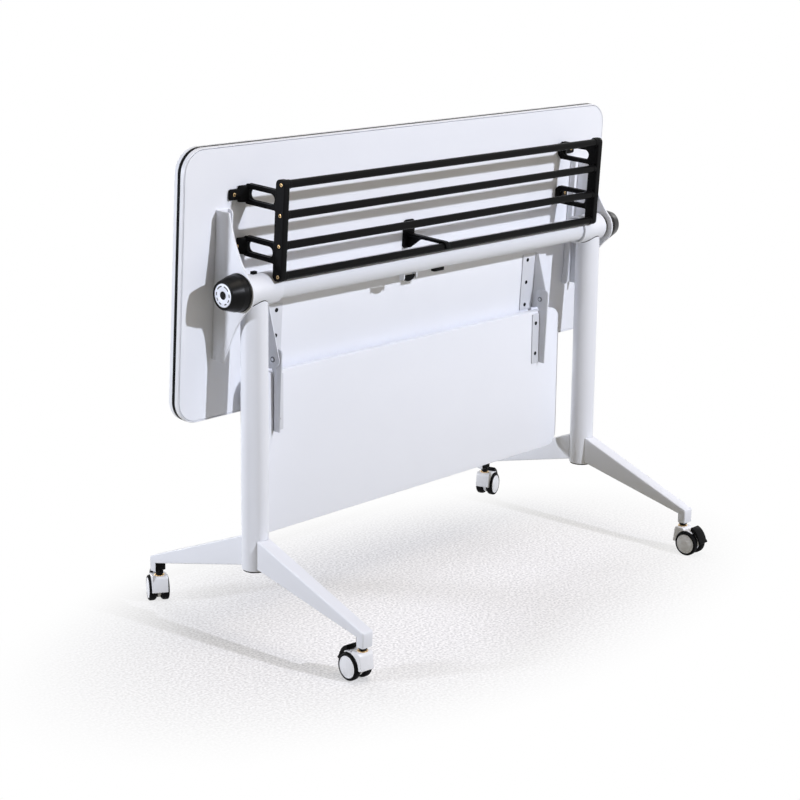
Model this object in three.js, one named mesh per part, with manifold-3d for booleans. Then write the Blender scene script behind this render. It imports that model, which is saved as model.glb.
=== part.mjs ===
// Flip top training table, shown folded: the top stands almost upright on a wheeled two-column stand.
// Millimetres, +Z up, X along the beam, -Y towards the user, floor at z = 0.
import * as THREE from 'three';
import { mergeVertices } from 'three/addons/utils/BufferGeometryUtils.js';
import Module from 'manifold-3d';

const wasm = await Module();
wasm.setup();

// Driving dimensions: the whole table
const tableHeight = 750;
const clearance = 0.3;

// Facets on round pieces, how far a cutter runs past its work, and the least flat beside a full round
const roundSteps = 28;
const smallSteps = 16;
const wheelSteps = 24;
const hexSides = 6;
const overshoot = 1;
const hair = 0.01;

// Driving dimensions: tabletop
const boardLength = 1200;
const boardDepth = 500;
const boardThickness = 25;
const boardCornerRadius = 45;
const boardEdge = 2;
const stripeWidth = 7;
const stripeDepth = 2.2;
const axisToUnderside = 66;
const foldLean = 3.3;

// Driving dimensions: stand, with columns set in from the ends of the board
const columnInset = 114;
const columnRadius = 25;
const columnWall = 2;
const columnFloor = 3;
const columnBelowFoot = 9;
const headWall = 5.5;
const headInboard = 46;
const headOutboard = 27;
const headEdge = 1.5;
const beamWall = 2;
const beamStop = 16;

// Driving dimensions: feet
const footReach = 286;
const footWidth = 30;
const footTipRadius = 13;
const footRise = 113;
const footDepthAtColumn = 59;
const footDepthAtTip = 15;
const bossHeight = 29;
const bossCap = 5;

// Driving dimensions: hubs at the ends of the beam
const shaftRadius = 8;
const shaftReach = 8;
const shaftEndGap = 1;
const ringThickness = 5.4;
const ringWidth = 6.5;
const ringRodGap = 2.5;
const knobLength = 38;
const knobBaseRadius = 35;
const knobFaceRadius = 26;
const knobBand = 14.4;
const knobBandTaper = 2;
const knobEdge = 1.5;
const knobRimWidth = 3.5;
const knobRecess = 1.2;
const knobFaceWall = 16;

// Driving dimensions: flip release
const rodRadius = 3.5;
const rodShaftGap = 2.5;
const rodBeamGap = 4;
const rodInnerEnd = 110;
const leverPlace = -81;
const leverRadius = 16;
const leverThickness = 4;
const leverPinRadius = 2;
const leverPivotDrop = 6;
const lugThickness = 3;
const lugWidth = 12;
const lugBelowPin = 6;

// Driving dimensions: flip brackets
const webThickness = 4;
const webReach = 137;
const webNoseMargin = 3;
const webNoseAngle = 40;
const webEndDepth = 33;
const webUpperWaistDepth = 11.4;
const webUpperWaistHeight = 60.3;
const webLowerWaistDepth = 7.6;
const webLowerWaistHeight = 54.8;
const flangeThickness = 3;
const flangeInboard = 25;
const lipHeight = 14;
const lipCorner = 8;

// Driving dimensions: book rack
const rackInset = 26;
const rackEndThickness = 14;
const rackStripWidth = 18;
const rackBehindAxis = 31;
const rackHeadGap = 2.1;
const barRadius = 7.5;
const barCount = 4;
const barPitch = 55.2;
const upperArmDrop = 30;
const lowerArmRise = 40.5;
const armHeight = 37;
const armCorner = 6;
const armInset = 1;
const armWindowHeight = 20;
const armWindowGap = 4;
const armWindowInset = 12;
const rackUpperTabWidth = 36;
const rackLowerTabWidth = 24;
const rackTabHeight = 20;
const rackTabThickness = 5;
const rackTabOverlap = 4;
const rackTabCorner = 5;
const rackGussetReach = 18;
const rackGussetDepth = 21;
const hangerPlace = -14;
const hangerPlateWidth = 32;
const hangerPlateBottom = 6;
const hangerPlateHeight = 57;
const hangerPlateThickness = 3;
const hangerPlateCorner = 8;
const hangerArmWidth = 12;
const hangerArmDepth = 7;
const hangerClipWall = 3;
const hangerClipStart = -45;
const hangerClipEnd = 198;
const hangerGussetReach = 32;
const hangerGussetFoot = 5;

// Driving dimensions: modesty panel and its hinges
const panelInset = 26;
const panelHeight = 308;
const panelThickness = 15;
const panelCornerRadius = 30;
const panelEdge = 1;
const panelDrop = 25;
const panelSetback = 3;
const hingeInset = 65;
const hingeSheet = 2.5;
const hingeHoleRadius = 2.8;
const pivotFromUnderside = 26;
const pivotBelowAxis = 153;
const upperHingeAbove = 98;
const upperHingeBelow = 24;
const upperHingeWidth = 42.5;
const upperHingeHoleInset = 15;
const upperHingeNoseRadius = 17;
const upperHingeNoseStart = 153;
const upperHingeTopDepth = 10;
const upperHingeHoleShares = [0.09, 0.49, 0.89];
const lowerHingeLength = 138;
const lowerHingeWidth = 24.5;
const lowerHingeHoleInset = 10.5;
const lowerHingeTopGap = 5;
const lowerHingeNoseReach = 21;
const lowerHingeNoseHeight = 21;
const lowerHingeNoseCorner = 9;
const lowerHingeNoseBack = 10;
const lowerHingeNoseLow = 14;
const lowerHingeTipDepth = 17;
const lowerHingeHoleShares = [0.2, 0.81];
const pinRadius = 3;
const pinHeadRadius = 6;
const pinHeadHeight = 2.5;

// Driving dimensions: casters
const wheelRadius = 25;
const wheelWidth = 12.7;
const wheelEdge = 1.5;
const tyreWidth = 5;
const wheelDomeHeight = 2.6;
const wheelDomeMidRadius = 12;
const wheelDomeMidDrop = 0.65;
const wheelBoreWall = 1;
const casterTrail = 20;
const axleRadius = 3;
const hoodPlateHalf = 9;
const hoodPlateInset = 5;
const hoodHalfWidth = 15.5;
const hoodGap = 1;
const hoodWall = 2.5;
const hoodEdge = 1.5;
const hoodShoulder = 5;
const hoodSocketRise = 3.5;
const hoodSocketRadius = 10;
const hoodSocketDepth = 17;
const hoodFrontLip = 2.5;
const hoodFrontBottom = 14;
const hoodNeckInset = 2;
const hoodNeckDrop = 8;
const hoodRearAngle = 62;
const stemRadius = 5;
const stemEndGap = 1;
const nutRadius = 8.5;
const nutHeight = 5.7;
const nutGap = 3;
const pedalGap = 0.5;
const pedalThickness = 4;
const pedalHalfWidth = 12.5;
const pedalStartAngle = 76;
const pedalEndAngle = 10;

// Swivel of each caster as photographed: the direction its wheels trail, in degrees from +X
const casterTrailAngles = { front_left: 84, rear_left: 59, front_right: -90, rear_right: 17 };

// Worked-out places along the flip axis
const rad = THREE.MathUtils.degToRad;
const axisHeight = tableHeight - boardThickness - axisToUnderside;
const halfSpacing = boardLength / 2 - columnInset;
const headOuterFace = halfSpacing + headOutboard;
const headInnerFace = halfSpacing - headInboard;
const ringFace = headOuterFace + clearance;
const webInner = ringFace + ringThickness + clearance;
const webOuter = webInner + webThickness;
const knobBase = webOuter + clearance;
const beamEnd = halfSpacing - beamStop - clearance;
const panelLength = 2 * (halfSpacing - panelInset);
const hingePlace = panelLength / 2 - hingeInset;
const rackOuter = halfSpacing - rackInset;
const rackInner = rackOuter - rackEndThickness;

// Worked-out radii about the flip axis: the lock rod runs between the shaft and the beam wall
const rodOffset = shaftRadius + rodShaftGap + rodRadius;
const beamRadius = rodOffset + rodRadius + rodBeamGap + beamWall;
const headRadius = beamRadius + headWall;
const ringInnerRadius = rodOffset + rodRadius + ringRodGap;
const webNoseRadius = knobBaseRadius + webNoseMargin;

// Worked-out heights from the floor up: wheel, hood, nut, boss, foot, column
const hoodInner = wheelRadius + hoodGap;
const hoodOuter = hoodInner + hoodWall;
const hoodSocketTop = wheelRadius + hoodOuter + hoodSocketRise;
const nutLow = hoodSocketTop + nutGap;
const nutHigh = nutLow + nutHeight;
const bossBottom = nutHigh + clearance;
const stemBoreDepth = bossHeight - bossCap;
const footTopAtTip = bossBottom + bossHeight;
const footTopAtColumn = footTopAtTip + footRise;
const columnBottom = footTopAtColumn - footDepthAtColumn - columnBelowFoot;
const footBossPlace = footReach - footTipRadius;

// Worked-out places under the board: the rack's lowest bar just clears the heads as the top turns
const undersideFace = axisToUnderside - clearance;
const pivotPlace = axisToUnderside - pivotFromUnderside;
const rackStripRadius = rackStripWidth / 2;
const rackSweep = headRadius + rackHeadGap + rackStripRadius;
const lowestBar = Math.sqrt(Math.max(0, rackSweep ** 2 - rackBehindAxis ** 2));
const barHeights = Array.from({ length: barCount }, (_, i) => lowestBar + barPitch * i);
const upperArmPlace = barHeights.at(-1) - upperArmDrop;
const lowerArmPlace = lowestBar + lowerArmRise;

// Finishes
const finish = (color, roughness, metalness) => (
  new THREE.MeshStandardMaterial({ color, roughness, metalness }));
const whitePaint = finish(0xe6e8f0, 0.42, 0.0);
const whiteBoard = finish(0xe9ebf2, 0.5, 0.0);
const whitePlastic = finish(0xeceef4, 0.4, 0.0);
const blackPlastic = finish(0x17181a, 0.45, 0.0);
const blackEdge = finish(0x1a1a1a, 0.5, 0.0);
const blackRubber = finish(0x141416, 0.65, 0.0);
const greySteel = finish(0xa9abb0, 0.4, 0.7);
const darkSteel = finish(0x3a3a3c, 0.4, 0.8);
const brightSteel = finish(0xc4c6ca, 0.3, 0.9);

// Solid modelling helpers
const toSolid = (geometry) => {
  const bare = geometry.index ? geometry.toNonIndexed() : geometry.clone();
  bare.deleteAttribute('normal');
  bare.deleteAttribute('uv');
  const merged = mergeVertices(bare, 1e-4);
  return new wasm.Manifold(new wasm.Mesh({
    numProp: 3,
    vertProperties: new Float32Array(merged.attributes.position.array),
    triVerts: new Uint32Array(merged.index.array),
  }));
};

const toGeometry = (solid) => {
  const mesh = solid.getMesh();
  const geometry = new THREE.BufferGeometry();
  geometry.setAttribute('position', new THREE.BufferAttribute(new Float32Array(mesh.vertProperties), 3));
  geometry.setIndex(new THREE.BufferAttribute(new Uint32Array(mesh.triVerts), 1));
  const flat = geometry.toNonIndexed();
  flat.computeVertexNormals();
  return flat;
};

const join = (...geometries) => toGeometry(geometries.map(toSolid).reduce((a, b) => a.add(b)));
const cut = (geometry, ...tools) => (
  toGeometry(tools.map(toSolid).reduce((a, b) => a.subtract(b), toSolid(geometry))));
const meet = (a, b) => toGeometry(toSolid(a).intersect(toSolid(b)));

const polygon = (points) => new THREE.Shape(points.map(([u, v]) => new THREE.Vector2(u, v)));

const roundedRectangle = (u0, v0, u1, v1, corner) => {
  const radius = Math.min(corner, Math.min(u1 - u0, v1 - v0) / 2 - hair);
  const shape = new THREE.Shape();
  shape.moveTo(u0 + radius, v0);
  shape.lineTo(u1 - radius, v0);
  shape.absarc(u1 - radius, v0 + radius, radius, -Math.PI / 2, 0, false);
  shape.lineTo(u1, v1 - radius);
  shape.absarc(u1 - radius, v1 - radius, radius, 0, Math.PI / 2, false);
  shape.lineTo(u0 + radius, v1);
  shape.absarc(u0 + radius, v1 - radius, radius, Math.PI / 2, Math.PI, false);
  shape.lineTo(u0, v0 + radius);
  shape.absarc(u0 + radius, v0 + radius, radius, Math.PI, 1.5 * Math.PI, false);
  return shape;
};

const circleHole = (u, v, radius) => {
  const path = new THREE.Path();
  path.absarc(u, v, radius, 0, 2 * Math.PI, false);
  return path;
};

const axesFor = {
  x: new THREE.Matrix4().makeBasis(
    new THREE.Vector3(0, 1, 0), new THREE.Vector3(0, 0, 1), new THREE.Vector3(1, 0, 0)),
  y: new THREE.Matrix4().makeBasis(
    new THREE.Vector3(1, 0, 0), new THREE.Vector3(0, 0, 1), new THREE.Vector3(0, -1, 0)),
  z: new THREE.Matrix4(),
};

// A shape drawn in (y, z), (x, z) or (x, y) and swept along the remaining axis from low to high
const sweep = (shape, axis, low, high, options = {}) => {
  const bevel = options.bevel ?? 0;
  const geometry = new THREE.ExtrudeGeometry(shape, {
    depth: high - low - 2 * bevel,
    curveSegments: options.steps ?? 4,
    bevelEnabled: bevel > 0,
    bevelThickness: bevel,
    bevelSize: bevel,
    bevelOffset: -bevel,
    bevelSegments: 1,
  });
  geometry.translate(0, 0, (axis === 'y' ? -high : low) + bevel);
  return geometry.applyMatrix4(axesFor[axis]);
};

const cylinder = (axis, radius, low, high, [u, v] = [0, 0], steps = roundSteps) => {
  const geometry = new THREE.CylinderGeometry(radius, radius, high - low, steps);
  geometry.rotateX(Math.PI / 2);
  geometry.translate(0, 0, (low + high) / 2);
  if (axis === 'x') {
    geometry.rotateY(Math.PI / 2);
    return geometry.translate(0, u, v);
  }
  if (axis === 'y') {
    geometry.rotateX(-Math.PI / 2);
    return geometry.translate(u, 0, v);
  }
  return geometry.translate(u, v, 0);
};

// A profile of (radius, distance) points turned about an axis; distance runs along +axis
const turned = (axis, points, steps = roundSteps) => {
  const profile = points.map(([radius, along]) => new THREE.Vector2(radius, along));
  const area = profile.reduce((sum, p, i) => {
    const q = profile[(i + 1) % profile.length];
    return sum + p.x * q.y - q.x * p.y;
  }, 0);
  const ordered = area < 0 ? profile.reverse() : profile;
  const geometry = new THREE.LatheGeometry([...ordered, ordered[0].clone()], steps);
  if (axis === 'x') return geometry.rotateZ(-Math.PI / 2);
  if (axis === 'z') return geometry.rotateX(Math.PI / 2);
  return geometry;
};

const table = new THREE.Group();
const addTo = (group, name, geometry, material) => {
  const mesh = new THREE.Mesh(geometry, material);
  mesh.name = name;
  group.add(mesh);
  return mesh;
};

// Pieces are drawn for the right-hand side, +X outboard, and mirrored for the left
const sides = { left: -1, right: 1 };
const mirrored = (geometry, side) => {
  if (side > 0) return geometry;
  const plain = geometry.index ? geometry.toNonIndexed() : geometry.clone();
  plain.scale(-1, 1, 1);
  const position = plain.attributes.position;
  for (let i = 0; i < position.count; i += 3) {
    const b = new THREE.Vector3().fromBufferAttribute(position, i + 1);
    const c = new THREE.Vector3().fromBufferAttribute(position, i + 2);
    position.setXYZ(i + 1, c.x, c.y, c.z);
    position.setXYZ(i + 2, b.x, b.y, b.z);
  }
  plain.deleteAttribute('normal');
  plain.deleteAttribute('uv');
  plain.computeVertexNormals();
  return plain;
};

// Stand: columns, heads and the beam
const columnGeometry = () => {
  const innerRadius = columnRadius - columnWall;
  const tube = turned('z', [
    [0, columnBottom], [columnRadius, columnBottom], [columnRadius, axisHeight],
    [innerRadius, axisHeight], [innerRadius, columnBottom + columnFloor], [0, columnBottom + columnFloor],
  ]).translate(halfSpacing, 0, 0);
  const seat = cylinder('x', headRadius + clearance, headInnerFace - overshoot, headOuterFace + overshoot,
    [0, axisHeight]);
  return cut(tube, seat);
};

const headGeometry = () => {
  const body = turned('x', [
    [0, headInnerFace], [headRadius - headEdge, headInnerFace], [headRadius, headInnerFace + headEdge],
    [headRadius, headOuterFace - headEdge], [headRadius - headEdge, headOuterFace], [0, headOuterFace],
  ]);
  const outside = headOuterFace + overshoot;
  const socket = cylinder('x', beamRadius + clearance, headInnerFace - overshoot, halfSpacing - beamStop);
  const shaftEnd = halfSpacing - shaftReach;
  const shaftBore = cylinder('x', shaftRadius + clearance, shaftEnd, outside, [0, 0], smallSteps);
  const rodBore = cylinder('x', rodRadius + clearance, headInnerFace, outside, [0, -rodOffset], smallSteps);
  return cut(body, socket, shaftBore, rodBore).translate(0, 0, axisHeight);
};

const leverPivotZ = -beamRadius - leverPivotDrop;
const lugReach = leverRadius + clearance + lugThickness;
const lugBottom = leverPivotZ - lugBelowPin;

const beamGeometry = () => {
  const lug = (low) => {
    const outline = polygon([
      [-lugWidth / 2, lugBottom], [lugWidth / 2, lugBottom],
      [lugWidth / 2, -beamRadius + beamWall], [-lugWidth / 2, -beamRadius + beamWall],
    ]);
    outline.holes.push(circleHole(0, leverPivotZ, leverPinRadius + clearance));
    return sweep(outline, 'x', low, low + lugThickness);
  };
  const solidBeam = join(
    cylinder('x', beamRadius, -beamEnd, beamEnd),
    lug(leverPlace - lugReach),
    lug(leverPlace + lugReach - lugThickness),
  );
  const bore = cylinder('x', beamRadius - beamWall, -beamEnd - overshoot, beamEnd + overshoot);
  return cut(solidBeam, bore).translate(0, 0, axisHeight);
};

// Feet: tapered arms with a round boss for the caster stem
const footGeometry = (direction) => {
  const slope = (z0, z1) => (y) => z0 + (z1 - z0) * (y / footReach);
  const top = slope(footTopAtColumn, footTopAtTip);
  const bottom = slope(footTopAtColumn - footDepthAtColumn, footTopAtTip - footDepthAtTip);
  const profile = polygon([
    [0, bottom(0)], [footReach, bottom(footReach)], [footReach, top(footReach)], [0, top(0)],
  ]);
  const plan = new THREE.Shape();
  plan.moveTo(-footWidth / 2, 0);
  plan.lineTo(footWidth / 2, 0);
  plan.lineTo(footTipRadius, footBossPlace);
  plan.absarc(0, footBossPlace, footTipRadius, 0, Math.PI, false);
  const arm = meet(
    sweep(profile, 'x', -footWidth, footWidth),
    sweep(plan, 'z', 0, footTopAtColumn + overshoot, { steps: 6 }),
  );
  const boss = cylinder('z', footTipRadius, bossBottom, top(footReach) - overshoot, [0, footBossPlace]);
  const stemBore = cylinder('z', stemRadius + clearance, bossBottom - overshoot, bossBottom + stemBoreDepth,
    [0, footBossPlace], smallSteps);
  const columnCut = cylinder('z', columnRadius + clearance, 0, footTopAtColumn + 2 * overshoot);
  const foot = cut(join(arm, boss), stemBore, columnCut);
  return direction > 0 ? foot : foot.rotateZ(Math.PI);
};

// Hubs: friction ring, shaft and knob outside each head
const ringGeometry = () => turned('x', [
  [ringInnerRadius, ringFace], [ringInnerRadius + ringWidth, ringFace],
  [ringInnerRadius + ringWidth, ringFace + ringThickness], [ringInnerRadius, ringFace + ringThickness],
]).translate(0, 0, axisHeight);

const knobFace = knobBase + knobLength;
const knobBoreEnd = knobFace - knobFaceWall;

const shaftGeometry = () => cylinder('x', shaftRadius, halfSpacing - shaftReach + shaftEndGap,
  knobBoreEnd - shaftEndGap, [0, axisHeight], smallSteps);

const knobGeometry = () => {
  const bore = shaftRadius + clearance;
  const rim = knobFaceRadius - knobRimWidth;
  return turned('x', [
    [0, knobBoreEnd], [bore, knobBoreEnd], [bore, knobBase],
    [knobBaseRadius - knobEdge, knobBase], [knobBaseRadius, knobBase + knobEdge],
    [knobBaseRadius - knobBandTaper, knobBase + knobBand],
    [knobFaceRadius, knobFace - knobEdge], [knobFaceRadius - knobEdge, knobFace],
    [rim, knobFace], [rim, knobFace - knobRecess], [0, knobFace - knobRecess],
  ]).translate(0, 0, axisHeight);
};

// Flip release: a half-round finger lever under the beam and the rods that it draws in
const leverGeometry = () => {
  const paddle = new THREE.Shape();
  paddle.moveTo(leverPlace - leverRadius, 0);
  paddle.absarc(leverPlace, 0, leverRadius, Math.PI, 2 * Math.PI, false);
  const plate = sweep(paddle, 'y', -leverThickness / 2, leverThickness / 2, { steps: 8 });
  const pin = cylinder('x', leverPinRadius, leverPlace - lugReach, leverPlace + lugReach, [0, 0], smallSteps);
  return join(plate, pin);
};

const rodGeometry = () => cylinder('x', rodRadius, rodInnerEnd, webInner - clearance,
  [0, axisHeight - rodOffset], smallSteps);

for (const [sideName, side] of Object.entries(sides)) {
  addTo(table, `column_${sideName}`, mirrored(columnGeometry(), side), whitePaint);
  addTo(table, `head_${sideName}`, mirrored(headGeometry(), side), whitePaint);
  addTo(table, `friction_ring_${sideName}`, mirrored(ringGeometry(), side), blackPlastic);
  addTo(table, `hub_shaft_${sideName}`, mirrored(shaftGeometry(), side), brightSteel);
  addTo(table, `knob_${sideName}`, mirrored(knobGeometry(), side), blackPlastic);
  addTo(table, `lock_rod_${sideName}`, mirrored(rodGeometry(), side), brightSteel);
}
addTo(table, 'beam', beamGeometry(), whitePaint);
addTo(table, 'release_lever', leverGeometry(), blackPlastic)
  .position.set(0, 0, axisHeight + leverPivotZ);

// Tabletop group: drawn upright about the flip axis, leaned to its folded rest
const top = new THREE.Group();
top.position.z = axisHeight;
top.rotation.x = rad(foldLean);
table.add(top);

const boardOutline = (inset) => roundedRectangle(
  -boardLength / 2 + inset, -boardDepth / 2 + inset,
  boardLength / 2 - inset, boardDepth / 2 - inset, boardCornerRadius - inset);

const stripeLow = axisToUnderside + (boardThickness - stripeWidth) / 2;

const tabletopGeometry = () => {
  const board = sweep(boardOutline(0), 'y', axisToUnderside, axisToUnderside + boardThickness,
    { bevel: boardEdge });
  const outside = boardOutline(-overshoot);
  outside.holes.push(boardOutline(stripeDepth + clearance));
  return cut(board, sweep(outside, 'y', stripeLow, stripeLow + stripeWidth));
};

const stripeGeometry = () => {
  const ring = boardOutline(0);
  ring.holes.push(boardOutline(stripeDepth));
  return sweep(ring, 'y', stripeLow + clearance, stripeLow + stripeWidth - clearance);
};

// Flip brackets: a web across the hub, a flange screwed under the board and a low lip along its inner edge
const flipBracketGeometry = () => {
  const noseAngle = rad(webNoseAngle);
  const noseY = -webNoseRadius * Math.cos(noseAngle);
  const noseZ = webNoseRadius * Math.sin(noseAngle);
  const endY = undersideFace - webEndDepth;
  const rootY = undersideFace - flangeThickness / 2;
  const web = new THREE.Shape();
  web.moveTo(rootY, webReach);
  web.lineTo(endY, webReach);
  web.quadraticCurveTo(webUpperWaistDepth, webUpperWaistHeight, noseY, noseZ);
  web.absarc(0, 0, webNoseRadius, Math.PI - noseAngle, Math.PI + noseAngle, false);
  web.quadraticCurveTo(webLowerWaistDepth, -webLowerWaistHeight, endY, -webReach);
  web.lineTo(rootY, -webReach);
  web.holes.push(circleHole(0, 0, shaftRadius + clearance));
  web.holes.push(circleHole(-rodOffset, 0, rodRadius + clearance));
  const flangeInner = webInner - flangeInboard;
  const flange = polygon([
    [flangeInner, -webReach], [webOuter, -webReach], [webOuter, webReach], [flangeInner, webReach],
  ]);
  const lipTip = undersideFace - lipHeight;
  const lipBend = webReach - lipCorner;
  const lip = new THREE.Shape();
  lip.moveTo(rootY, webReach);
  lip.absarc(lipTip + lipCorner, lipBend, lipCorner, Math.PI / 2, Math.PI, false);
  lip.absarc(lipTip + lipCorner, -lipBend, lipCorner, Math.PI, 1.5 * Math.PI, false);
  lip.lineTo(rootY, -webReach);
  return join(
    sweep(web, 'x', webInner, webOuter, { steps: 8 }),
    sweep(flange, 'y', undersideFace - flangeThickness, undersideFace),
    sweep(lip, 'x', flangeInner, flangeInner + flangeThickness, { steps: 4 }),
  );
};

// Book rack: two moulded ends with windowed arms, round bars between them and a middle hanger
const rackPlace = -rackBehindAxis;

const rackEndGeometry = () => {
  const stripBack = rackPlace + rackStripRadius;
  const strip = roundedRectangle(
    rackPlace - rackStripRadius, lowestBar - rackStripRadius,
    stripBack, barHeights.at(-1) + rackStripRadius, rackStripRadius);
  const arm = (place) => {
    const outline = roundedRectangle(rackPlace, place - armHeight / 2,
      undersideFace, place + armHeight / 2, armCorner);
    outline.holes.push(roundedRectangle(stripBack + armWindowGap, place - armWindowHeight / 2,
      undersideFace - armWindowInset, place + armWindowHeight / 2, armWindowHeight / 2));
    return sweep(outline, 'x', rackInner + armInset, rackOuter - armInset, { steps: 2 });
  };
  const tab = (place, width) => sweep(
    roundedRectangle(rackOuter - rackTabOverlap, place - rackTabHeight / 2,
      rackOuter + width, place + rackTabHeight / 2, rackTabCorner),
    'y', undersideFace - rackTabThickness, undersideFace, { steps: 2 });
  const gusset = (place) => sweep(polygon([
    [rackOuter - rackTabOverlap, undersideFace - rackGussetDepth],
    [rackOuter - armInset, undersideFace - rackGussetDepth],
    [rackOuter + rackGussetReach, undersideFace - rackTabThickness],
    [rackOuter + rackGussetReach, undersideFace - hair],
    [rackOuter - rackTabOverlap, undersideFace - hair],
  ]), 'z', place - rackTabHeight / 2 + rackTabCorner, place + rackTabHeight / 2 - rackTabCorner);
  return join(
    sweep(strip, 'x', rackInner, rackOuter, { steps: 3 }),
    arm(upperArmPlace), arm(lowerArmPlace), gusset(upperArmPlace), gusset(lowerArmPlace),
    tab(upperArmPlace, rackUpperTabWidth), tab(lowerArmPlace, rackLowerTabWidth),
  );
};

const barGeometry = (height) => {
  const end = rackInner - clearance;
  return cylinder('x', barRadius, -end, end, [rackPlace, height], smallSteps);
};

const hangerGeometry = () => {
  const clipInner = barRadius + clearance;
  const clipOuter = clipInner + hangerClipWall;
  const armTop = lowestBar + clipOuter;
  const armBottom = armTop - hangerArmDepth;
  const plateFace = undersideFace - hangerPlateThickness;
  const rootY = undersideFace - hangerPlateThickness / 2;
  const gusset = polygon([
    [rootY, hangerPlateBottom], [rootY, armTop], [rackPlace, armTop], [rackPlace, armBottom],
    [plateFace - hangerGussetReach, armBottom], [plateFace - hangerGussetFoot, hangerPlateBottom],
  ]);
  const clip = new THREE.Shape();
  const clipStart = rad(hangerClipStart);
  const clipEnd = rad(hangerClipEnd);
  clip.absarc(rackPlace, lowestBar, clipOuter, clipStart, clipEnd, false);
  clip.absarc(rackPlace, lowestBar, clipInner, clipEnd, clipStart, true);
  const plate = roundedRectangle(hangerPlace - hangerPlateWidth / 2, hangerPlateBottom,
    hangerPlace + hangerPlateWidth / 2, hangerPlateBottom + hangerPlateHeight, hangerPlateCorner);
  const low = hangerPlace - hangerArmWidth / 2;
  const high = hangerPlace + hangerArmWidth / 2;
  const body = join(
    sweep(gusset, 'x', low, high),
    sweep(clip, 'x', low, high, { steps: 6 }),
    sweep(plate, 'y', plateFace, undersideFace, { steps: 3 }),
  );
  const barSpace = cylinder('x', clipInner, low - overshoot, high + overshoot,
    [rackPlace, lowestBar], smallSteps);
  return cut(body, barSpace);
};

// Upper hinge halves on the board
const upperHingeGeometry = () => {
  const pivotZ = -pivotBelowAxis;
  const topZ = pivotZ + upperHingeAbove;
  const bottomZ = pivotZ - upperHingeBelow;
  const web = new THREE.Shape();
  const rootY = undersideFace - hingeSheet / 2;
  web.moveTo(rootY, topZ);
  web.lineTo(undersideFace - upperHingeTopDepth, topZ);
  web.absarc(pivotPlace, pivotZ, upperHingeNoseRadius, rad(upperHingeNoseStart), 1.5 * Math.PI, false);
  web.lineTo(rootY, bottomZ);
  web.holes.push(circleHole(pivotPlace, pivotZ, pinRadius + clearance));
  const flange = polygon([
    [hingePlace - upperHingeWidth, bottomZ], [hingePlace, bottomZ],
    [hingePlace, topZ], [hingePlace - upperHingeWidth, topZ],
  ]);
  const holeX = hingePlace - upperHingeWidth + upperHingeHoleInset;
  for (const share of upperHingeHoleShares) {
    flange.holes.push(circleHole(holeX, bottomZ + (topZ - bottomZ) * share, hingeHoleRadius));
  }
  return join(
    sweep(web, 'x', hingePlace - hingeSheet, hingePlace, { steps: 6 }),
    sweep(flange, 'y', undersideFace - hingeSheet, undersideFace),
  );
};

addTo(top, 'tabletop', tabletopGeometry(), whiteBoard);
addTo(top, 'edge_stripe', stripeGeometry(), blackEdge);
for (const [sideName, side] of Object.entries(sides)) {
  addTo(top, `flip_bracket_${sideName}`, mirrored(flipBracketGeometry(), side), whitePaint);
  addTo(top, `rack_end_${sideName}`, mirrored(rackEndGeometry(), side), blackPlastic);
  addTo(top, `upper_hinge_${sideName}`, mirrored(upperHingeGeometry(), side), greySteel);
}
barHeights.forEach((height, i) => addTo(top, `rack_bar_${i + 1}`, barGeometry(height), blackPlastic));
addTo(top, 'rack_hanger', hangerGeometry(), blackPlastic);

// Modesty panel group: hangs plumb from the hinge pins, origin on the pin line
const panelPivot = new THREE.Vector3(0, pivotPlace, -pivotBelowAxis)
  .applyAxisAngle(new THREE.Vector3(1, 0, 0), rad(foldLean))
  .add(new THREE.Vector3(0, 0, axisHeight));
const panelGroup = new THREE.Group();
panelGroup.position.copy(panelPivot);
table.add(panelGroup);

const panelGeometry = () => sweep(
  roundedRectangle(-panelLength / 2, -panelDrop - panelHeight,
    panelLength / 2, -panelDrop, panelCornerRadius),
  'y', panelSetback, panelSetback + panelThickness, { bevel: panelEdge });

const lowerHingeHigh = hingePlace - hingeSheet - clearance;
const lowerHingeLow = lowerHingeHigh - hingeSheet;

const lowerHingeGeometry = () => {
  const back = panelSetback - clearance;
  const web = new THREE.Shape();
  const noseBend = lowerHingeNoseHeight - lowerHingeNoseCorner;
  web.moveTo(back, -lowerHingeLength);
  web.lineTo(back, -panelDrop);
  web.lineTo(lowerHingeNoseBack, -lowerHingeNoseLow);
  web.absarc(lowerHingeNoseBack - lowerHingeNoseCorner, noseBend, lowerHingeNoseCorner,
    0, Math.PI / 2, false);
  web.absarc(lowerHingeNoseCorner - lowerHingeNoseReach, noseBend, lowerHingeNoseCorner,
    Math.PI / 2, Math.PI, false);
  web.lineTo(back - lowerHingeTipDepth, -lowerHingeLength);
  web.holes.push(circleHole(0, 0, pinRadius + clearance));
  const flangeTop = -panelDrop - lowerHingeTopGap;
  const flange = polygon([
    [lowerHingeHigh - lowerHingeWidth, -lowerHingeLength], [lowerHingeHigh, -lowerHingeLength],
    [lowerHingeHigh, flangeTop], [lowerHingeHigh - lowerHingeWidth, flangeTop],
  ]);
  const holeX = lowerHingeHigh - lowerHingeWidth + lowerHingeHoleInset;
  for (const share of lowerHingeHoleShares) {
    const holeZ = -lowerHingeLength + (flangeTop + lowerHingeLength) * share;
    flange.holes.push(circleHole(holeX, holeZ, hingeHoleRadius));
  }
  return join(
    sweep(web, 'x', lowerHingeLow, lowerHingeHigh, { steps: 8 }),
    sweep(flange, 'y', back - hingeSheet, back),
  );
};

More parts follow.
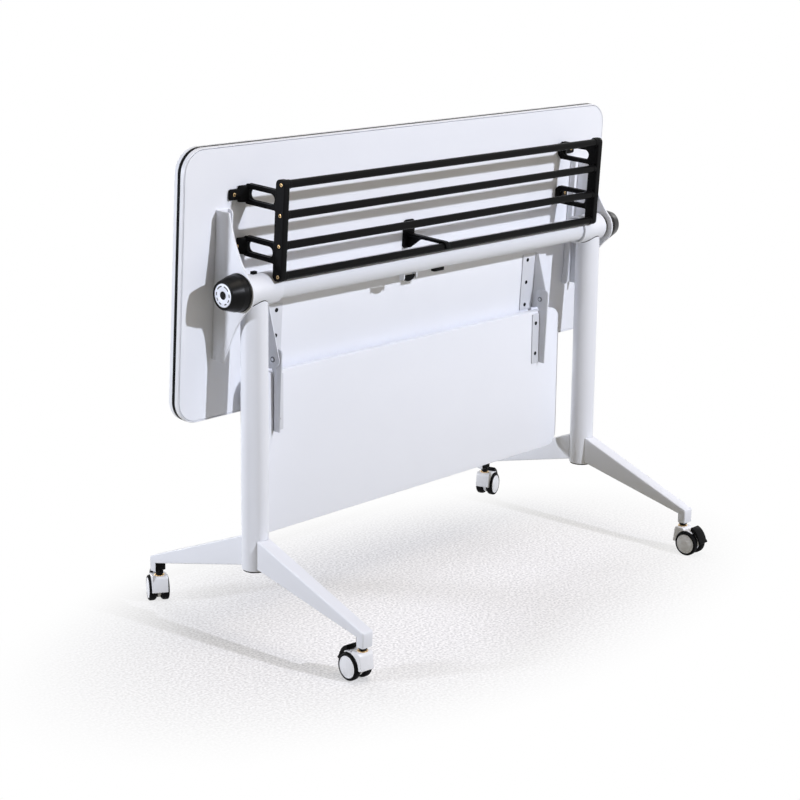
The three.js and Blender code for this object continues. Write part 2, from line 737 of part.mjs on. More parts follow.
const pinGeometry = () => {
  const inner = lowerHingeLow - clearance;
  const outer = hingePlace + clearance;
  return turned('x', [
    [0, inner - pinHeadHeight], [pinHeadRadius, inner - pinHeadHeight], [pinHeadRadius, inner],
    [pinRadius, inner], [pinRadius, outer],
    [pinHeadRadius, outer], [pinHeadRadius, outer + pinHeadHeight], [0, outer + pinHeadHeight],
  ], smallSteps);
};

addTo(panelGroup, 'modesty_panel', panelGeometry(), whiteBoard);
for (const [sideName, side] of Object.entries(sides)) {
  addTo(panelGroup, `lower_hinge_${sideName}`, mirrored(lowerHingeGeometry(), side), greySteel);
  addTo(panelGroup, `hinge_pin_${sideName}`, mirrored(pinGeometry(), side), darkSteel);
}

// Casters: twin wheels under a hood, trailing towards local +X, stem on the local Z axis
const hoodGeometry = () => {
  const rear = rad(hoodRearAngle);
  const frontX = Math.min(casterTrail - hoodOuter - hoodFrontLip, -hoodSocketRadius);
  const frontInner = casterTrail - Math.sqrt(hoodInner ** 2 - (wheelRadius - hoodFrontBottom) ** 2);
  const frontAngle = Math.atan2(hoodFrontBottom - wheelRadius, frontInner - casterTrail) + 2 * Math.PI;
  const fender = new THREE.Shape();
  fender.moveTo(frontX + hoodEdge, hoodFrontBottom);
  fender.lineTo(frontInner, hoodFrontBottom);
  fender.absarc(casterTrail, wheelRadius, hoodInner, frontAngle, rear, true);
  fender.absarc(casterTrail, wheelRadius, hoodOuter, rear, Math.PI / 2, false);
  fender.lineTo(hoodSocketRadius, hoodSocketTop - hoodEdge);
  fender.lineTo(hoodSocketRadius - hoodEdge, hoodSocketTop);
  fender.lineTo(frontX + 2 * hoodEdge, hoodSocketTop);
  fender.lineTo(frontX, hoodSocketTop - hoodShoulder);
  const plate = new THREE.Shape();
  plate.absarc(casterTrail, wheelRadius, wheelRadius - hoodPlateInset, 0, 2 * Math.PI, false);
  const neckX = frontX + hoodNeckInset;
  const neck = polygon([
    [neckX, hoodFrontBottom + hoodNeckInset], [casterTrail, wheelRadius],
    [casterTrail, wheelRadius + hoodOuter - hoodWall / 2], [neckX, hoodSocketTop - hoodNeckDrop],
  ]);
  const body = join(
    sweep(fender, 'y', -hoodHalfWidth, hoodHalfWidth, { steps: 8 }),
    sweep(plate, 'y', -hoodPlateHalf, hoodPlateHalf, { steps: 8 }),
    sweep(neck, 'y', -hoodPlateHalf, hoodPlateHalf),
  );
  const axleBore = cylinder('y', axleRadius + clearance, -hoodHalfWidth, hoodHalfWidth,
    [casterTrail, wheelRadius], smallSteps);
  const stemBore = cylinder('z', stemRadius + clearance, hoodSocketTop - hoodSocketDepth,
    hoodSocketTop + overshoot, [0, 0], smallSteps);
  return cut(body, axleBore, stemBore);
};

const wheelInner = hoodPlateHalf + clearance;
const wheelOuter = wheelInner + wheelWidth;
const wheelRim = wheelOuter - wheelDomeHeight;
const wheelBoreEnd = wheelRim - wheelBoreWall;

const wheelGeometry = (side) => {
  const bore = axleRadius + clearance;
  const wheel = turned('y', [
    [0, wheelOuter], [wheelDomeMidRadius, wheelOuter - wheelDomeMidDrop],
    [wheelRadius - tyreWidth, wheelRim], [wheelRadius - wheelEdge, wheelRim],
    [wheelRadius, wheelRim - wheelEdge],
    [wheelRadius, wheelInner], [bore, wheelInner], [bore, wheelBoreEnd], [0, wheelBoreEnd],
  ], wheelSteps);
  return side > 0 ? wheel : wheel.rotateX(Math.PI);
};

const axleGeometry = () => {
  const end = wheelBoreEnd - clearance;
  return cylinder('y', axleRadius, -end, end, [0, 0], smallSteps);
};

const pedalGeometry = () => {
  const inner = hoodOuter + pedalGap;
  const outer = inner + pedalThickness;
  const start = rad(pedalStartAngle);
  const end = rad(pedalEndAngle);
  const band = new THREE.Shape();
  band.absarc(0, 0, inner, end, start, false);
  band.absarc(0, 0, outer, start, end, true);
  return sweep(band, 'y', -pedalHalfWidth, pedalHalfWidth, { steps: 6 });
};

const stemGeometry = () => {
  const low = hoodSocketTop - hoodSocketDepth + stemEndGap;
  const high = bossBottom + stemBoreDepth - stemEndGap;
  return join(
    cylinder('z', stemRadius, low, high, [0, 0], smallSteps),
    cylinder('z', nutRadius, nutLow, nutHigh, [0, 0], hexSides),
  );
};

for (const [endName, direction] of Object.entries({ front: -1, rear: 1 })) {
  for (const [sideName, side] of Object.entries(sides)) {
    const place = `${endName}_${sideName}`;
    const columnX = side * halfSpacing;
    addTo(table, `foot_${place}`, footGeometry(direction), whitePaint).position.x = columnX;
    const station = new THREE.Group();
    station.position.set(columnX, direction * footBossPlace, 0);
    table.add(station);
    addTo(station, `caster_stem_${place}`, stemGeometry(), darkSteel);
    const swivel = new THREE.Group();
    swivel.rotation.z = rad(casterTrailAngles[place]);
    station.add(swivel);
    addTo(swivel, `caster_hood_${place}`, hoodGeometry(), whitePlastic);
    const axle = new THREE.Group();
    axle.position.set(casterTrail, 0, wheelRadius);
    swivel.add(axle);
    addTo(axle, `caster_axle_${place}`, axleGeometry(), brightSteel);
    addTo(axle, `caster_wheel_a_${place}`, wheelGeometry(1), blackRubber);
    addTo(axle, `caster_wheel_b_${place}`, wheelGeometry(-1), blackRubber);
    addTo(axle, `brake_pedal_${place}`, pedalGeometry(), blackPlastic);
  }
}

// The footprint is centred on the origin
const bounds = new THREE.Box3().setFromObject(table, true);
table.position.y = -bounds.getCenter(new THREE.Vector3()).y;
const part = new THREE.Group();
part.add(table);

export default part;
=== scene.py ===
from math import cos, pi, radians, sin, tan

import bpy
from mathutils import Matrix, Vector


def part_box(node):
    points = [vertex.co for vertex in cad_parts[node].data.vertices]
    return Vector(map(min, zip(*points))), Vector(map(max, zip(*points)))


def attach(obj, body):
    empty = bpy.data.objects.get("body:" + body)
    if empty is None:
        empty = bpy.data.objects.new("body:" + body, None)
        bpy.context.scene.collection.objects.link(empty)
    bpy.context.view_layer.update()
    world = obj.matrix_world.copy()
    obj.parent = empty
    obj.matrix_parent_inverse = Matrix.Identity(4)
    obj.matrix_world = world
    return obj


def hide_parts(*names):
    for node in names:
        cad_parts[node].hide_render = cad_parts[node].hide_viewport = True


# Flip top training table, folded: white board standing almost upright on a wheeled two-column stand.
# Sizes are in millimetres, X along the beam, -Y towards the user, floor at z = 0.
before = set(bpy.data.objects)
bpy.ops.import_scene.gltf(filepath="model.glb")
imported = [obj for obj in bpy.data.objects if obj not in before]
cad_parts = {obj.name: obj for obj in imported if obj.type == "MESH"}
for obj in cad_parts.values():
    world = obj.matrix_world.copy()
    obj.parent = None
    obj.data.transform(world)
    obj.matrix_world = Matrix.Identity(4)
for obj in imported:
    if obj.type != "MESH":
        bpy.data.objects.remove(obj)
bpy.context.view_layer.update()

MM = 0.001
# Points closer than this are merged
MERGE = 0.004
# Cutters for screw sockets and sinks reach this far past what they cut
CUT_CLEAR = 2


def middle(node):
    """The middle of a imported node's box, in millimetres."""
    low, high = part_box(node)
    return (low + high) / 2 / MM


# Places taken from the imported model
FLIP = middle("head_right")
FLIP.x = 0
PIVOT = middle("hinge_pin_right")
PIVOT.x = 0

# Stand
COLUMN_X = 486
COLUMN_RADIUS = 25
COLUMN_BOTTOM = 140
CAP_RADIUS = 23.2
CAP_BOTTOM = 137.6
CAP_TOP = 142
HEAD_RADIUS = 29
HEAD_INNER = 440
HEAD_OUTER = 513
HEAD_BORE_DEPTH = 12
BEAM_RADIUS = 23.5
BEAM_HALF = 448
SEAM = 1.3
SADDLE_HALF = 60
# A black band that fills the seam under the head: painted shade in the gap between column and head
SEAM_SHADE_RADIUS = COLUMN_RADIUS - 0.5
SEAM_SHADE_BOTTOM = FLIP.z - 40
SEAM_SHADE_TOP = FLIP.z - 5
PLUG_HEIGHT = 9
BEAM_PLUG_HALF = (15, 6)
BEAM_PLUG_PLACE = (0, FLIP.y - 3, FLIP.z - 29)
HEAD_PLUG_HALF = (5.5, 4)
HEAD_PLUG_PLACE = (-487, FLIP.y, FLIP.z + 25)

# Feet, each pair of heights given at the column and at the tip
FOOT_REACH = 286
FOOT_HALF_WIDTH = 15
FOOT_TIP = 13
FOOT_TIP_ROUND = 3
FOOT_TOP = (208, 95)
FOOT_BOTTOM = (149, 80)
FOOT_BLANK_HALF = 30
FOOT_PLAN_HEIGHTS = (40, 240)
FOOT_SOCKET_RADIUS = COLUMN_RADIUS + 0.7
FOOT_SOCKET_HEIGHT = 300
BOSS_BOTTOM = 66
BOSS_TOP = 90
BOSS_THICK = 17.8
BOSS_INSET = 0.15
INSERT_PROUD = 0.4
INSERT_SINK = 3
INSERT_INSET = 0.8
INSERT_BOTTOM = BOSS_BOTTOM + 0.5
INSERT_TOP = 87

# Hubs
RING_INNER = 513.3
RING_OUTER = 518.7
RING_BORE = 20
RING_RADIUS = 26.5
RING_GROOVE = 25.2
RING_RIM = 2
RING_SLOPE = 2.3
WEB_INNER = 519
WEB_OUTER = 523
KNOB_BASE = 523.3
KNOB_FACE = KNOB_BASE + 38
KNOB_SKIRT = 35
KNOB_SKIRT_END = KNOB_BASE + 3.2
KNOB_STEP = 33.9
KNOB_STEP_END = KNOB_BASE + 4.2
KNOB_SHOULDER = 33
KNOB_SHOULDER_END = KNOB_BASE + 14.4
KNOB_RIM = 26
DISC_RADIUS = 21.2
DISC_HOLE = 7.6
DISC_SEAT = 1.2
DISC_SEAT_RADIUS = DISC_RADIUS + 0.5
DISC_BACK = KNOB_FACE - 1.3
DISC_FRONT = KNOB_FACE - 0.5
DASH_INNER = 15.4
DASH_OUTER = 17.6
DASH_BACK = KNOB_FACE - 0.55
DASH_FRONT = KNOB_FACE - 0.35
DASHES = ((35, 80), (100, 145), (165, 185), (200, 220), (235, 255), (285, 305), (320, 340), (355, 375))

# Flip release, with the lugs that carry it
LEVER_X = -81
LEVER_RADIUS = 16
LEVER_DEPTH = 10
LEVER_DROP = 29.5
LEVER_HALF_THICK = 2
LEVER_PIN_RADIUS = 2.6
LEVER_PIN_HALF = 19
LUG_HALF = 6
LUG_BOTTOM = -35.5
LUG_TOP = -20
LUG_THICK = 3
LUG_GAP = 0.3

# Top, drawn upright about the flip axis and then leaned
LEAN = 3.3
UNDERSIDE = 66
BOARD_THICK = 25
BOARD_HALF = (600, 250)
BOARD_CORNER = 45
BOARD_SINK = 0.1
BAND = 2.6
BAND_GAP = 0.8
STRIPE = (74.8, 82.2)
STRIPE_PROUD = 0.35
STRIPE_THICK = 1.9
BRACKET_FACE = 65.7
BRACKET_REACH = 137
BRACKET_SHEET = 3
WEB_EDGE = 32.7
WEB_PULL_TOP = (11.4, 60.3)
WEB_PULL_BOTTOM = (7.6, -54.8)
NOSE_RADIUS = 38
NOSE_ANGLES = (140, 220)
NOSE_TOP = (-29.1, 24.4)
NOSE_BOTTOM = (-29.1, -24.4)
LIP_INNER = 494
LIP_HEIGHT = 14
LIP_ROUND = 8
FLANGE_INNER = LIP_INNER + 0.2
FLANGE_OUTER = WEB_OUTER - 1

# Book rack
RACK_Y = -31
RACK_INNER = 446
RACK_OUTER = 460
BARS = [25.44, 80.64, 135.84, 191.04]
BAR_RADIUS = 7.5
BAR_HALF = 446.5
BAR_COLLAR = 8.6
BAR_COLLAR_START = 441
BAR_STRAIGHT_HALF = 440.4
STRIP_END = 9
STRIP_FACE = RACK_Y - STRIP_END
STRIP_WIDTH = 23
STRIP_ROUND = 8.9
SINK_FLOOR = RACK_OUTER - 0.9
SINK_RADII = (4.7, 4.9)
ARMS = [65.94, 161.04]
ARM_HALF = 18.5
ARM_ROOT = -33
ARM_NECK = -22
ARM_FLARE = 9
ARM_BLUNT = 8
ARM_SKIN = (1, 5.6)
ARM_CORE = 5
ARM_GROOVE = 1.5
WINDOW_ENDS = (-15, 56)
WINDOW_HALF = 10
WINDOW_CLEAR = 9
TAB_ROOT = RACK_OUTER - 6
TAB_HALF = 10
TAB_THICK = 5
TAB_REACH = [484, 496]
TAB_SCREW = [475, 485]
GUSSET_NEAR = RACK_OUTER - 1
GUSSET_FAR = RACK_OUTER + 14
GUSSET_FACES = (53, 62)
GUSSET_HALF = 15
SCREW_ROOT = 1
GOLD_HEAD = 3.4
GOLD_SOCKET = 1.9
GOLD_TAB_HEIGHT = 1.2
GOLD_END_HEIGHT = 1.1
HANGER_X = -14
HANGER_HALF = 16
HANGER_HEIGHTS = (6, 63)
HANGER_ROUND = 8
HANGER_SHEET = 3
HANGER_BACK = 64.2
HANGER_ARM_HEIGHTS = (30.5, 36.2)
HANGER_ARM_HALF = 6
RIB_HALF = 2
RIB_FOOT = 7
RIB_HEEL = 58
RIB_BEND = 30
RIB_BOTTOM = 29.2
CLIP_RADII = (7.7, 10.8)
CLIP_ANGLES = (-45, 198)

# Modesty panel and hinges: the upper half is drawn about the flip axis, the lower half about the pin
PANEL_HALF = 460
PANEL_TOP = -25
PANEL_BOTTOM = -333
PANEL_CORNER = 30
PANEL_FACES = (-18, -3)
HINGE_SHEET = 2.5
HINGE_X = 395
HINGE_HOLE = 4.3
HINGE_CUT_HALF = 80
UPPER_INNER = 352.5
UPPER_TOP = -55
UPPER_BOTTOM = -177
UPPER_BACK = 64.5
UPPER_FRONT = 55.7
UPPER_EYE = (40, -153)
UPPER_EYE_RADIUS = 17
UPPER_EYE_ANGLES = (153, 270)
UPPER_HOLE_X = 367.5
UPPER_HOLES = [-166, -117.2, -68.4]
UPPER_SCREW_SEAT = BRACKET_FACE - 1.8
LOWER_X = 392.2
LOWER_INNER = 367.7
LOWER_BOTTOM = -138
LOWER_FLANGE_TOP = -30
LOWER_BACK = 2.7
LOWER_FRONT = -14.3
LOWER_NECK = -25
LOWER_SHOULDER = (10, -14)
LOWER_EYE_HEIGHT = 12
LOWER_EYE_RADIUS = 9
LOWER_EYE_SIDES = (-12, 1)
LOWER_HOLE_X = 378.2
LOWER_HOLES = [-116.4, -50.5]
LOWER_SCREW_SEAT = 1
DARK_HEAD = 4.1
DARK_HEIGHT = 0.9
DARK_SOCKET = 1.5
PIN_WASHER = 5.6
PIN_WASHER_FACE = HINGE_X + 1
PIN_NUT = 5.2
PIN_NUT_FACE = LOWER_X - 4.2
RIVET_RADIUS = 2.9
RIVET_HEAD = (HINGE_X + 0.9, HINGE_X + 2.2)
RIVET_TAIL = (LOWER_X - 5.6, LOWER_X - 4.1)

# Casters: stem on the local z axis, wheels trailing towards local +x
TRAIL_ANGLES = {"front_left": 84, "rear_left": 59, "front_right": -90, "rear_right": 17}
TRAIL = 20
WHEEL = 25
STEM_RADIUS = 5
STEM_HEIGHTS = (41, 88)
NUT_RADIUS = 8.5
NUT_HEIGHTS = (60, 65.7)
WASHER_RADII = (5.2, 9.8)
WASHER_HEIGHTS = (57.2, 58.6)
HOOD_HALF = 15.5
HOOD_TOP = 57
HOOD_BOTTOM = 24.1
HOOD_TOE = -13.5
HOOD_BROW = (-10.5, 51)
HOOD_CROWN = (-7.5, 10)
FENDER_FRONT = 26
FENDER_REAR = 28.5
FENDER_ANGLES = (182, 62, 105)
FIN_HALF = 3.3
FIN_RADIUS = 20
FIN_FRONT = -9
FIN_HEIGHTS = (26, 50, 52)
TREAD_BORE = 17
TREAD_INNER = 3.9
TREAD_OUTER = 19.6
TREAD_LIP = (20.6, 19.9)
TREAD_SEAT = (20.2, 18)
WHEEL_DISC_EDGE = 20.3
WHEEL_DISC_ROUND = 0.8
WHEEL_DISC_FACES = (17.2, 18.9)
WHEEL_DISC_DISH = [
    (18.2, 19.6), (17.9, 19.2), (17.5, 19.2), (17.2, 19.7), (12, 21.1), (6, 21.75), (0, 21.95)]
PEDAL_HALF = 12.5
PEDAL_INSIDE = 29
PEDAL_ANGLES = (10, 76)
PEDAL_NOSE = (9, 36.4)
PEDAL_PULL = (26, 31.5)
PEDAL_BACK = (32.2, 9.2)
PEDAL_TAIL = [(35.5, 7.2), (33.2, 4.4)]


# Modelling, one helper for each way of shaping a piece

def hold(*pieces):
    """Selects these pieces and nothing else, with the last one active."""
    bpy.ops.object.select_all(action="DESELECT")
    for piece in pieces:
        piece.select_set(True)
    bpy.context.view_layer.objects.active = pieces[-1]


def arc(x, y, radius, start, end, steps):
    """Points on an arc, angles in degrees."""
    angles = [radians(start + (end - start) * i / steps) for i in range(steps + 1)]
    return [(x + radius * cos(a), y + radius * sin(a)) for a in angles]


def hexagon(radius):
    """The outline of a hexagon with its corners on a circle."""
    return arc(0, 0, radius, 0, 300, 5)


def curve(start, pull, end, steps=16):
    """Points on a bow from start to end, pulled towards one point."""
    points = []
    for i in range(1, steps):
        t = i / steps
        points.append(tuple(
            (1 - t) ** 2 * a + 2 * t * (1 - t) * p + t * t * b for a, p, b in zip(start, pull, end)))
    return points


def rounded(corners, steps=6):
    """An outline from corners (x, y, radius), each radius turned into an arc."""
    outline = []
    for i, (x, y, radius) in enumerate(corners):
        here = Vector((x, y))
        if not radius:
            outline.append((x, y))
            continue
        back = (Vector(corners[i - 1][:2]) - here).normalized()
        ahead = (Vector(corners[(i + 1) % len(corners)][:2]) - here).normalized()
        half = back.angle(ahead) / 2
        centre = here + (back + ahead).normalized() * (radius / sin(half))
        first = here + back * (radius / tan(half)) - centre
        last = here + ahead * (radius / tan(half)) - centre
        for step in range(steps + 1):
            outline.append(tuple(centre + first.lerp(last, step / steps).normalized() * radius))
    return outline


def rectangle(x0, y0, x1, y1, radius, steps=8):
    """The outline of a rectangle with rounded corners."""
    return rounded([(x0, y0, radius), (x1, y0, radius), (x1, y1, radius), (x0, y1, radius)], steps)


def rod(radius, low, high, low_edge=0, high_edge=0):
    """The section of a round bar, corner by corner as rounded takes it."""
    return [(0, low, 0), (radius, low, low_edge), (radius, high, high_edge), (0, high, 0)]


def draw(name, points, fill):
    """A closed loop through points, selected and left in edit mode."""
    bpy.ops.object.select_all(action="DESELECT")
    bpy.ops.mesh.primitive_circle_add(vertices=len(points), radius=MM, fill_type=fill)
    piece = bpy.context.object
    piece.name = name
    for corner, point in zip(piece.data.vertices, points):
        corner.co = Vector(point) * MM
    bpy.ops.object.mode_set(mode="EDIT")
    bpy.ops.mesh.select_all(action="SELECT")
    return piece


def plate(name, outline, low, high):
    """A sheet cut to an outline in x and y, and extruded from low to high along z."""
    piece = draw(name, [(x, y, low) for x, y in outline], "NGON")
    bpy.ops.mesh.extrude_region_move(TRANSFORM_OT_translate={"value": (0, 0, (high - low) * MM)})
    close_up()
    return piece


def turned(name, section, steps=64):
    """A piece turned on a lathe: a closed section of (radius, height), spun round z."""
    piece = draw(name, [(radius, 0, height) for radius, height in section], "NOTHING")
    bpy.ops.mesh.spin(steps=steps, angle=2 * pi, center=(0, 0, 0), axis=(0, 0, 1))
    close_up()
    return piece


def close_up():
    """Merges doubled points, drops loose edges and turns every face outwards, then leaves edit mode."""
    bpy.ops.mesh.select_all(action="SELECT")
    bpy.ops.mesh.remove_doubles(threshold=MERGE * MM)
    bpy.ops.mesh.delete_loose(use_verts=True, use_edges=True, use_faces=False)
    bpy.ops.mesh.select_all(action="SELECT")
    bpy.ops.mesh.normals_make_consistent(inside=False)
    bpy.ops.object.mode_set(mode="OBJECT")


def put(piece, at=(0, 0, 0), turn=(0, 0, 0)):
    """Turns a piece by degrees, moves it and leaves its place in its mesh."""
    hold(piece)
    piece.rotation_euler = [radians(angle) for angle in turn]
    piece.location = Vector(at) * MM
    bpy.ops.object.transform_apply(location=True, rotation=True, scale=True)
    return piece


def along_beam(piece):
    """Lays a piece that was turned round z along the flip axis."""
    return put(piece, FLIP, (0, 90, 0))


def face_user(piece, at=(0, 0, 0)):
    """Stands a flat piece up: its x stays along the beam and its y turns upwards."""
    return put(piece, at, (90, 0, 0))


def face_side(piece, at=(0, 0, 0)):
    """Stands a flat piece up across the beam: its x turns to y and its y turns upwards."""
    return put(piece, at, (90, 0, 90))


def lean(piece):
    """Leans a piece that was drawn upright about the flip axis."""
    return put(piece, FLIP, (LEAN, 0, 0))


def twin(piece, name):
    """A copy with a mesh of its own."""
    hold(piece)
    bpy.ops.object.duplicate(linked=False)
    copy = bpy.context.object
    copy.name = name
    return copy


def mirrored(piece, name):
    """A copy for the left-hand side."""
    copy = twin(piece, name)
    copy.scale.x = -1
    bpy.ops.object.transform_apply(location=True, rotation=True, scale=True)
    bpy.ops.object.mode_set(mode="EDIT")
    close_up()
    return copy


def combine(piece, other, how):
    """Cuts, joins or trims a piece with another solid, which is used up."""
    hold(piece)
    change = piece.modifiers.new("shape", "BOOLEAN")
    change.operation = how
    change.object = other
    change.solver = "EXACT"
    bpy.ops.object.modifier_apply(modifier=change.name)
    bpy.data.objects.remove(other)
    return piece


def gather(name, *pieces):
    """Several small solids as one piece."""
    hold(*pieces)
    bpy.ops.object.join()
    bpy.context.object.name = name
    return bpy.context.object


def soften(piece, width, segments=3, angle=40):
    """Rounds every edge that is sharper than the angle."""
    hold(piece)
    bevel = piece.modifiers.new("edges", "BEVEL")
    bevel.width = width * MM
    bevel.segments = segments
    bevel.limit_method = "ANGLE"
    bevel.angle_limit = radians(angle)
    bevel.use_clamp_overlap = True
    bpy.ops.object.modifier_apply(modifier=bevel.name)
    return piece


def screw(name, head, height, hole):
    """A low pan head with a hexagon socket right through it, its seat at z = 0."""
    dome = arc(head - height / 2, height / 2, height / 2, 0, 90, 4)
    body = turned(name, [(0, -SCREW_ROOT), (head, -SCREW_ROOT)] + dome + [(0, height)], 24)
    socket = plate("socket", hexagon(hole), -SCREW_ROOT - CUT_CLEAR, height + CUT_CLEAR)
    return combine(body, socket, "DIFFERENCE")


# Materials

# The span that most values of a noise texture fall in
CLOUD_RANGE = (0.3, 0.7)


def linear(code):
    """A colour written as sRGB hex, as the linear values that a shader takes."""
    parts = [int(code[i:i + 2], 16) / 255 for i in (0, 2, 4)]
    return [c / 12.92 if c <= 0.04045 else ((c + 0.055) / 1.055) ** 2.4 for c in parts] + [1]


def node(tree, kind, inputs, **settings):
    """Adds one node: inputs are socket values, or the sockets that feed them."""
    made = tree.nodes.new(kind)
    for setting, value in settings.items():
        setattr(made, setting, value)
    for socket, value in inputs.items():
        if isinstance(value, bpy.types.NodeSocket):
            tree.links.new(value, made.inputs[socket])
        else:
            made.inputs[socket].default_value = value
    return made


def finish(name, colours, blotch, grain, relief, roughness, stretch=(1, 1, 1), **surface):
    """A finish with two close colours in soft blotches and a fine relief, both sized in millimetres."""
    material = bpy.data.materials.new(name)
    material.use_nodes = True
    tree = material.node_tree
    tree.nodes.clear()
    place = node(tree, "ShaderNodeTexCoord", {})
    spread = node(tree, "ShaderNodeMapping", {"Vector": place.outputs["Object"], "Scale": stretch})
    cloud = node(tree, "ShaderNodeTexNoise",
                 {"Vector": spread.outputs[0], "Scale": 1 / (blotch * MM), "Detail": 4})
    tint = node(tree, "ShaderNodeMix",
                {"Factor": cloud.outputs[0], "A": linear(colours[0]), "B": linear(colours[1])},
                data_type="RGBA")
    tint_out = [socket for socket in tint.outputs if socket.type == "RGBA"][0]
    polish = node(tree, "ShaderNodeMapRange",
                  {"Value": cloud.outputs[0], "From Min": CLOUD_RANGE[0], "From Max": CLOUD_RANGE[1],
                   "To Min": roughness[0], "To Max": roughness[1]})
    pores = node(tree, "ShaderNodeTexNoise",
                 {"Vector": spread.outputs[0], "Scale": 1 / (grain * MM), "Detail": 3})
    bump = node(tree, "ShaderNodeBump",
                {"Height": pores.outputs[0], "Strength": 1.0, "Distance": relief * MM})
    shader = node(tree, "ShaderNodeBsdfPrincipled",
                  {"Base Color": tint_out, "Roughness": polish.outputs[0],
                   "Normal": bump.outputs[0], **surface})
    node(tree, "ShaderNodeOutputMaterial", {"Surface": shader.outputs[0]})
    return material


# Shares of the surround that dull finishes throw back, where a clear gloss has 0.5
DULL = {"Specular IOR Level": 0.05}
DEEP = {"Specular IOR Level": 0.11}
MATT = {"Specular IOR Level": 0.3}

# Grains below a millimetre are drawn coarser than the real ones, so that they show in the render

# Polyester powder sprayed on steel and baked: even cool white, satin, a faint orange peel
powder_white = finish("powder_coat_satin_white", ("E6E8EE", "EAECF2"), 60, 1.6, 0.02, (0.36, 0.44))
# The same powder in a pale grey on the hinge sheets
powder_grey = finish("powder_coat_satin_grey", ("D4D6DC", "D9DBE1"), 60, 1.6, 0.02, (0.36, 0.44))
# Melamine paper pressed on chipboard: matt cool white with a very fine pore
melamine_white = finish("melamine_pressed_white", ("EEF0F6", "F2F4FA"), 120, 0.9, 0.012, (0.46, 0.54), **MATT)
# Extruded PVC edge band: smoother and a touch glossier than the board that it wraps
band_white = finish("pvc_extruded_white", ("E6E8EE", "EAECF1"), 40, 2.5, 0.008, (0.32, 0.4), (0.2, 0.2, 1))
# Extruded black PVC strip: soft satin black
band_black = finish("pvc_extruded_black", ("0B0B0C", "0F0F10"), 30, 1.5, 0.01, (0.38, 0.48), **DULL)
# Glass-filled nylon from a spark-eroded mould: dull charcoal black with a fine even grain
nylon_black = finish("nylon_moulded_black", ("0C0C0D", "111112"), 18, 0.7, 0.03, (0.42, 0.52), **DULL)
# Steel tube coated black: smooth, glossy enough for a long highlight
tube_black = finish("tube_coated_black", ("0A0A0B", "0E0E0F"), 50, 1.8, 0.012, (0.28, 0.36), **DULL)
# ABS from a polished mould: deep black with clear reflections
abs_black = finish("abs_polished_black", ("080809", "0C0C0D"), 40, 4.0, 0.01, (0.26, 0.34), **DEEP)
# White ABS from a polished mould: bright, glossy, slightly cool
abs_white = finish("abs_moulded_white", ("ECEDF1", "F0F1F4"), 30, 2.2, 0.008, (0.24, 0.32))
# Polyurethane tread: matt black rubber, dusty and finely scuffed
tread_black = finish("polyurethane_tread_black", ("0D0D0E", "171718"), 7, 0.8, 0.05, (0.55, 0.7), **DULL)
# Zinc-plated steel: bright, slightly cloudy metal
zinc_bright = finish("zinc_plated_steel", ("B7B9BD", "C9CBCF"), 5, 1.2, 0.01, (0.24, 0.36), Metallic=1.0)
# Plain rolled steel: darker grey metal with a dull sheen
steel_grey = finish("steel_rolled_plain", ("66676B", "7C7D81"), 4, 1.0, 0.01, (0.32, 0.44), Metallic=1.0)
# Black-oxide fasteners: dark metal, oily sheen
oxide_dark = finish("black_oxide_steel", ("161617", "202022"), 4, 1.0, 0.01, (0.34, 0.46),
                    Metallic=0.6, **DULL)
# Yellow-passivated screws and washers: warm copper gold metal
passivate_gold = finish("zinc_yellow_passivated", ("CFA266", "EBD2A2"), 4, 1.0, 0.01, (0.22, 0.34),
                        Metallic=1.0)
# Spun aluminium face disc: pale silver with a fine satin grain
disc_silver = finish("aluminium_spun_silver", ("D3D7E2", "E2E5EE"), 3, 0.5, 0.01, (0.3, 0.42), Metallic=0.35)
# Screen-printed ink: flat black
ink_black = finish("ink_printed_black", ("101012", "161618"), 6, 0.8, 0.005, (0.5, 0.6))

# Faces that meet at more than this angle keep a crisp edge
SHARP = 32


def dress(piece, body, material, slot, *nodes):
    """Shades a finished piece, gives it its finish and hangs it on the body that carries it."""
    hold(piece)
    bpy.ops.object.shade_smooth_by_angle(angle=radians(SHARP))
    piece.data.materials.clear()
    piece.data.materials.append(material)
    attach(piece, body)
    if nodes:
        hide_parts(*nodes)


def pair(piece, body, material, slot, *nodes):
    """Dresses a right-hand piece and its mirrored copy for the left."""
    copy = mirrored(piece, piece.name.replace("right", "left"))
    dress(copy, body, material, slot, *[name.replace("right", "left") for name in nodes])
    dress(piece, body, material, slot, *nodes)


# Stand: columns with a black floor cap and a black band in the seam under the head that paints the shade
# there, heads, beam with its lugs and plugs


def head_space(name):
    """The space that the right head takes up, with a seam all round."""
    shape = turned(name, rounded(rod(HEAD_RADIUS + SEAM, -SADDLE_HALF, SADDLE_HALF)), 128)
    return put(shape, (COLUMN_X, FLIP.y, FLIP.z), (0, 90, 0))


column = turned("column_tube_right", rounded(rod(COLUMN_RADIUS, COLUMN_BOTTOM, FLIP.z, 1.8)), 96)
put(column, (COLUMN_X, FLIP.y, 0))
combine(column, head_space("saddle"), "DIFFERENCE")
cap = turned("column_cap_right", rounded(rod(CAP_RADIUS, CAP_BOTTOM, CAP_TOP, 0.8)))
put(cap, (COLUMN_X, FLIP.y, 0))

bore = BEAM_RADIUS + SEAM
bore_end = HEAD_INNER + HEAD_BORE_DEPTH
head = along_beam(turned("hub_head_right", rounded([
    (0, bore_end, 0), (bore, bore_end, 0), (bore, HEAD_INNER, 0.5),
    (HEAD_RADIUS, HEAD_INNER, 1.6), (HEAD_RADIUS, HEAD_OUTER, 1.6), (0, HEAD_OUTER, 0)]), 96))
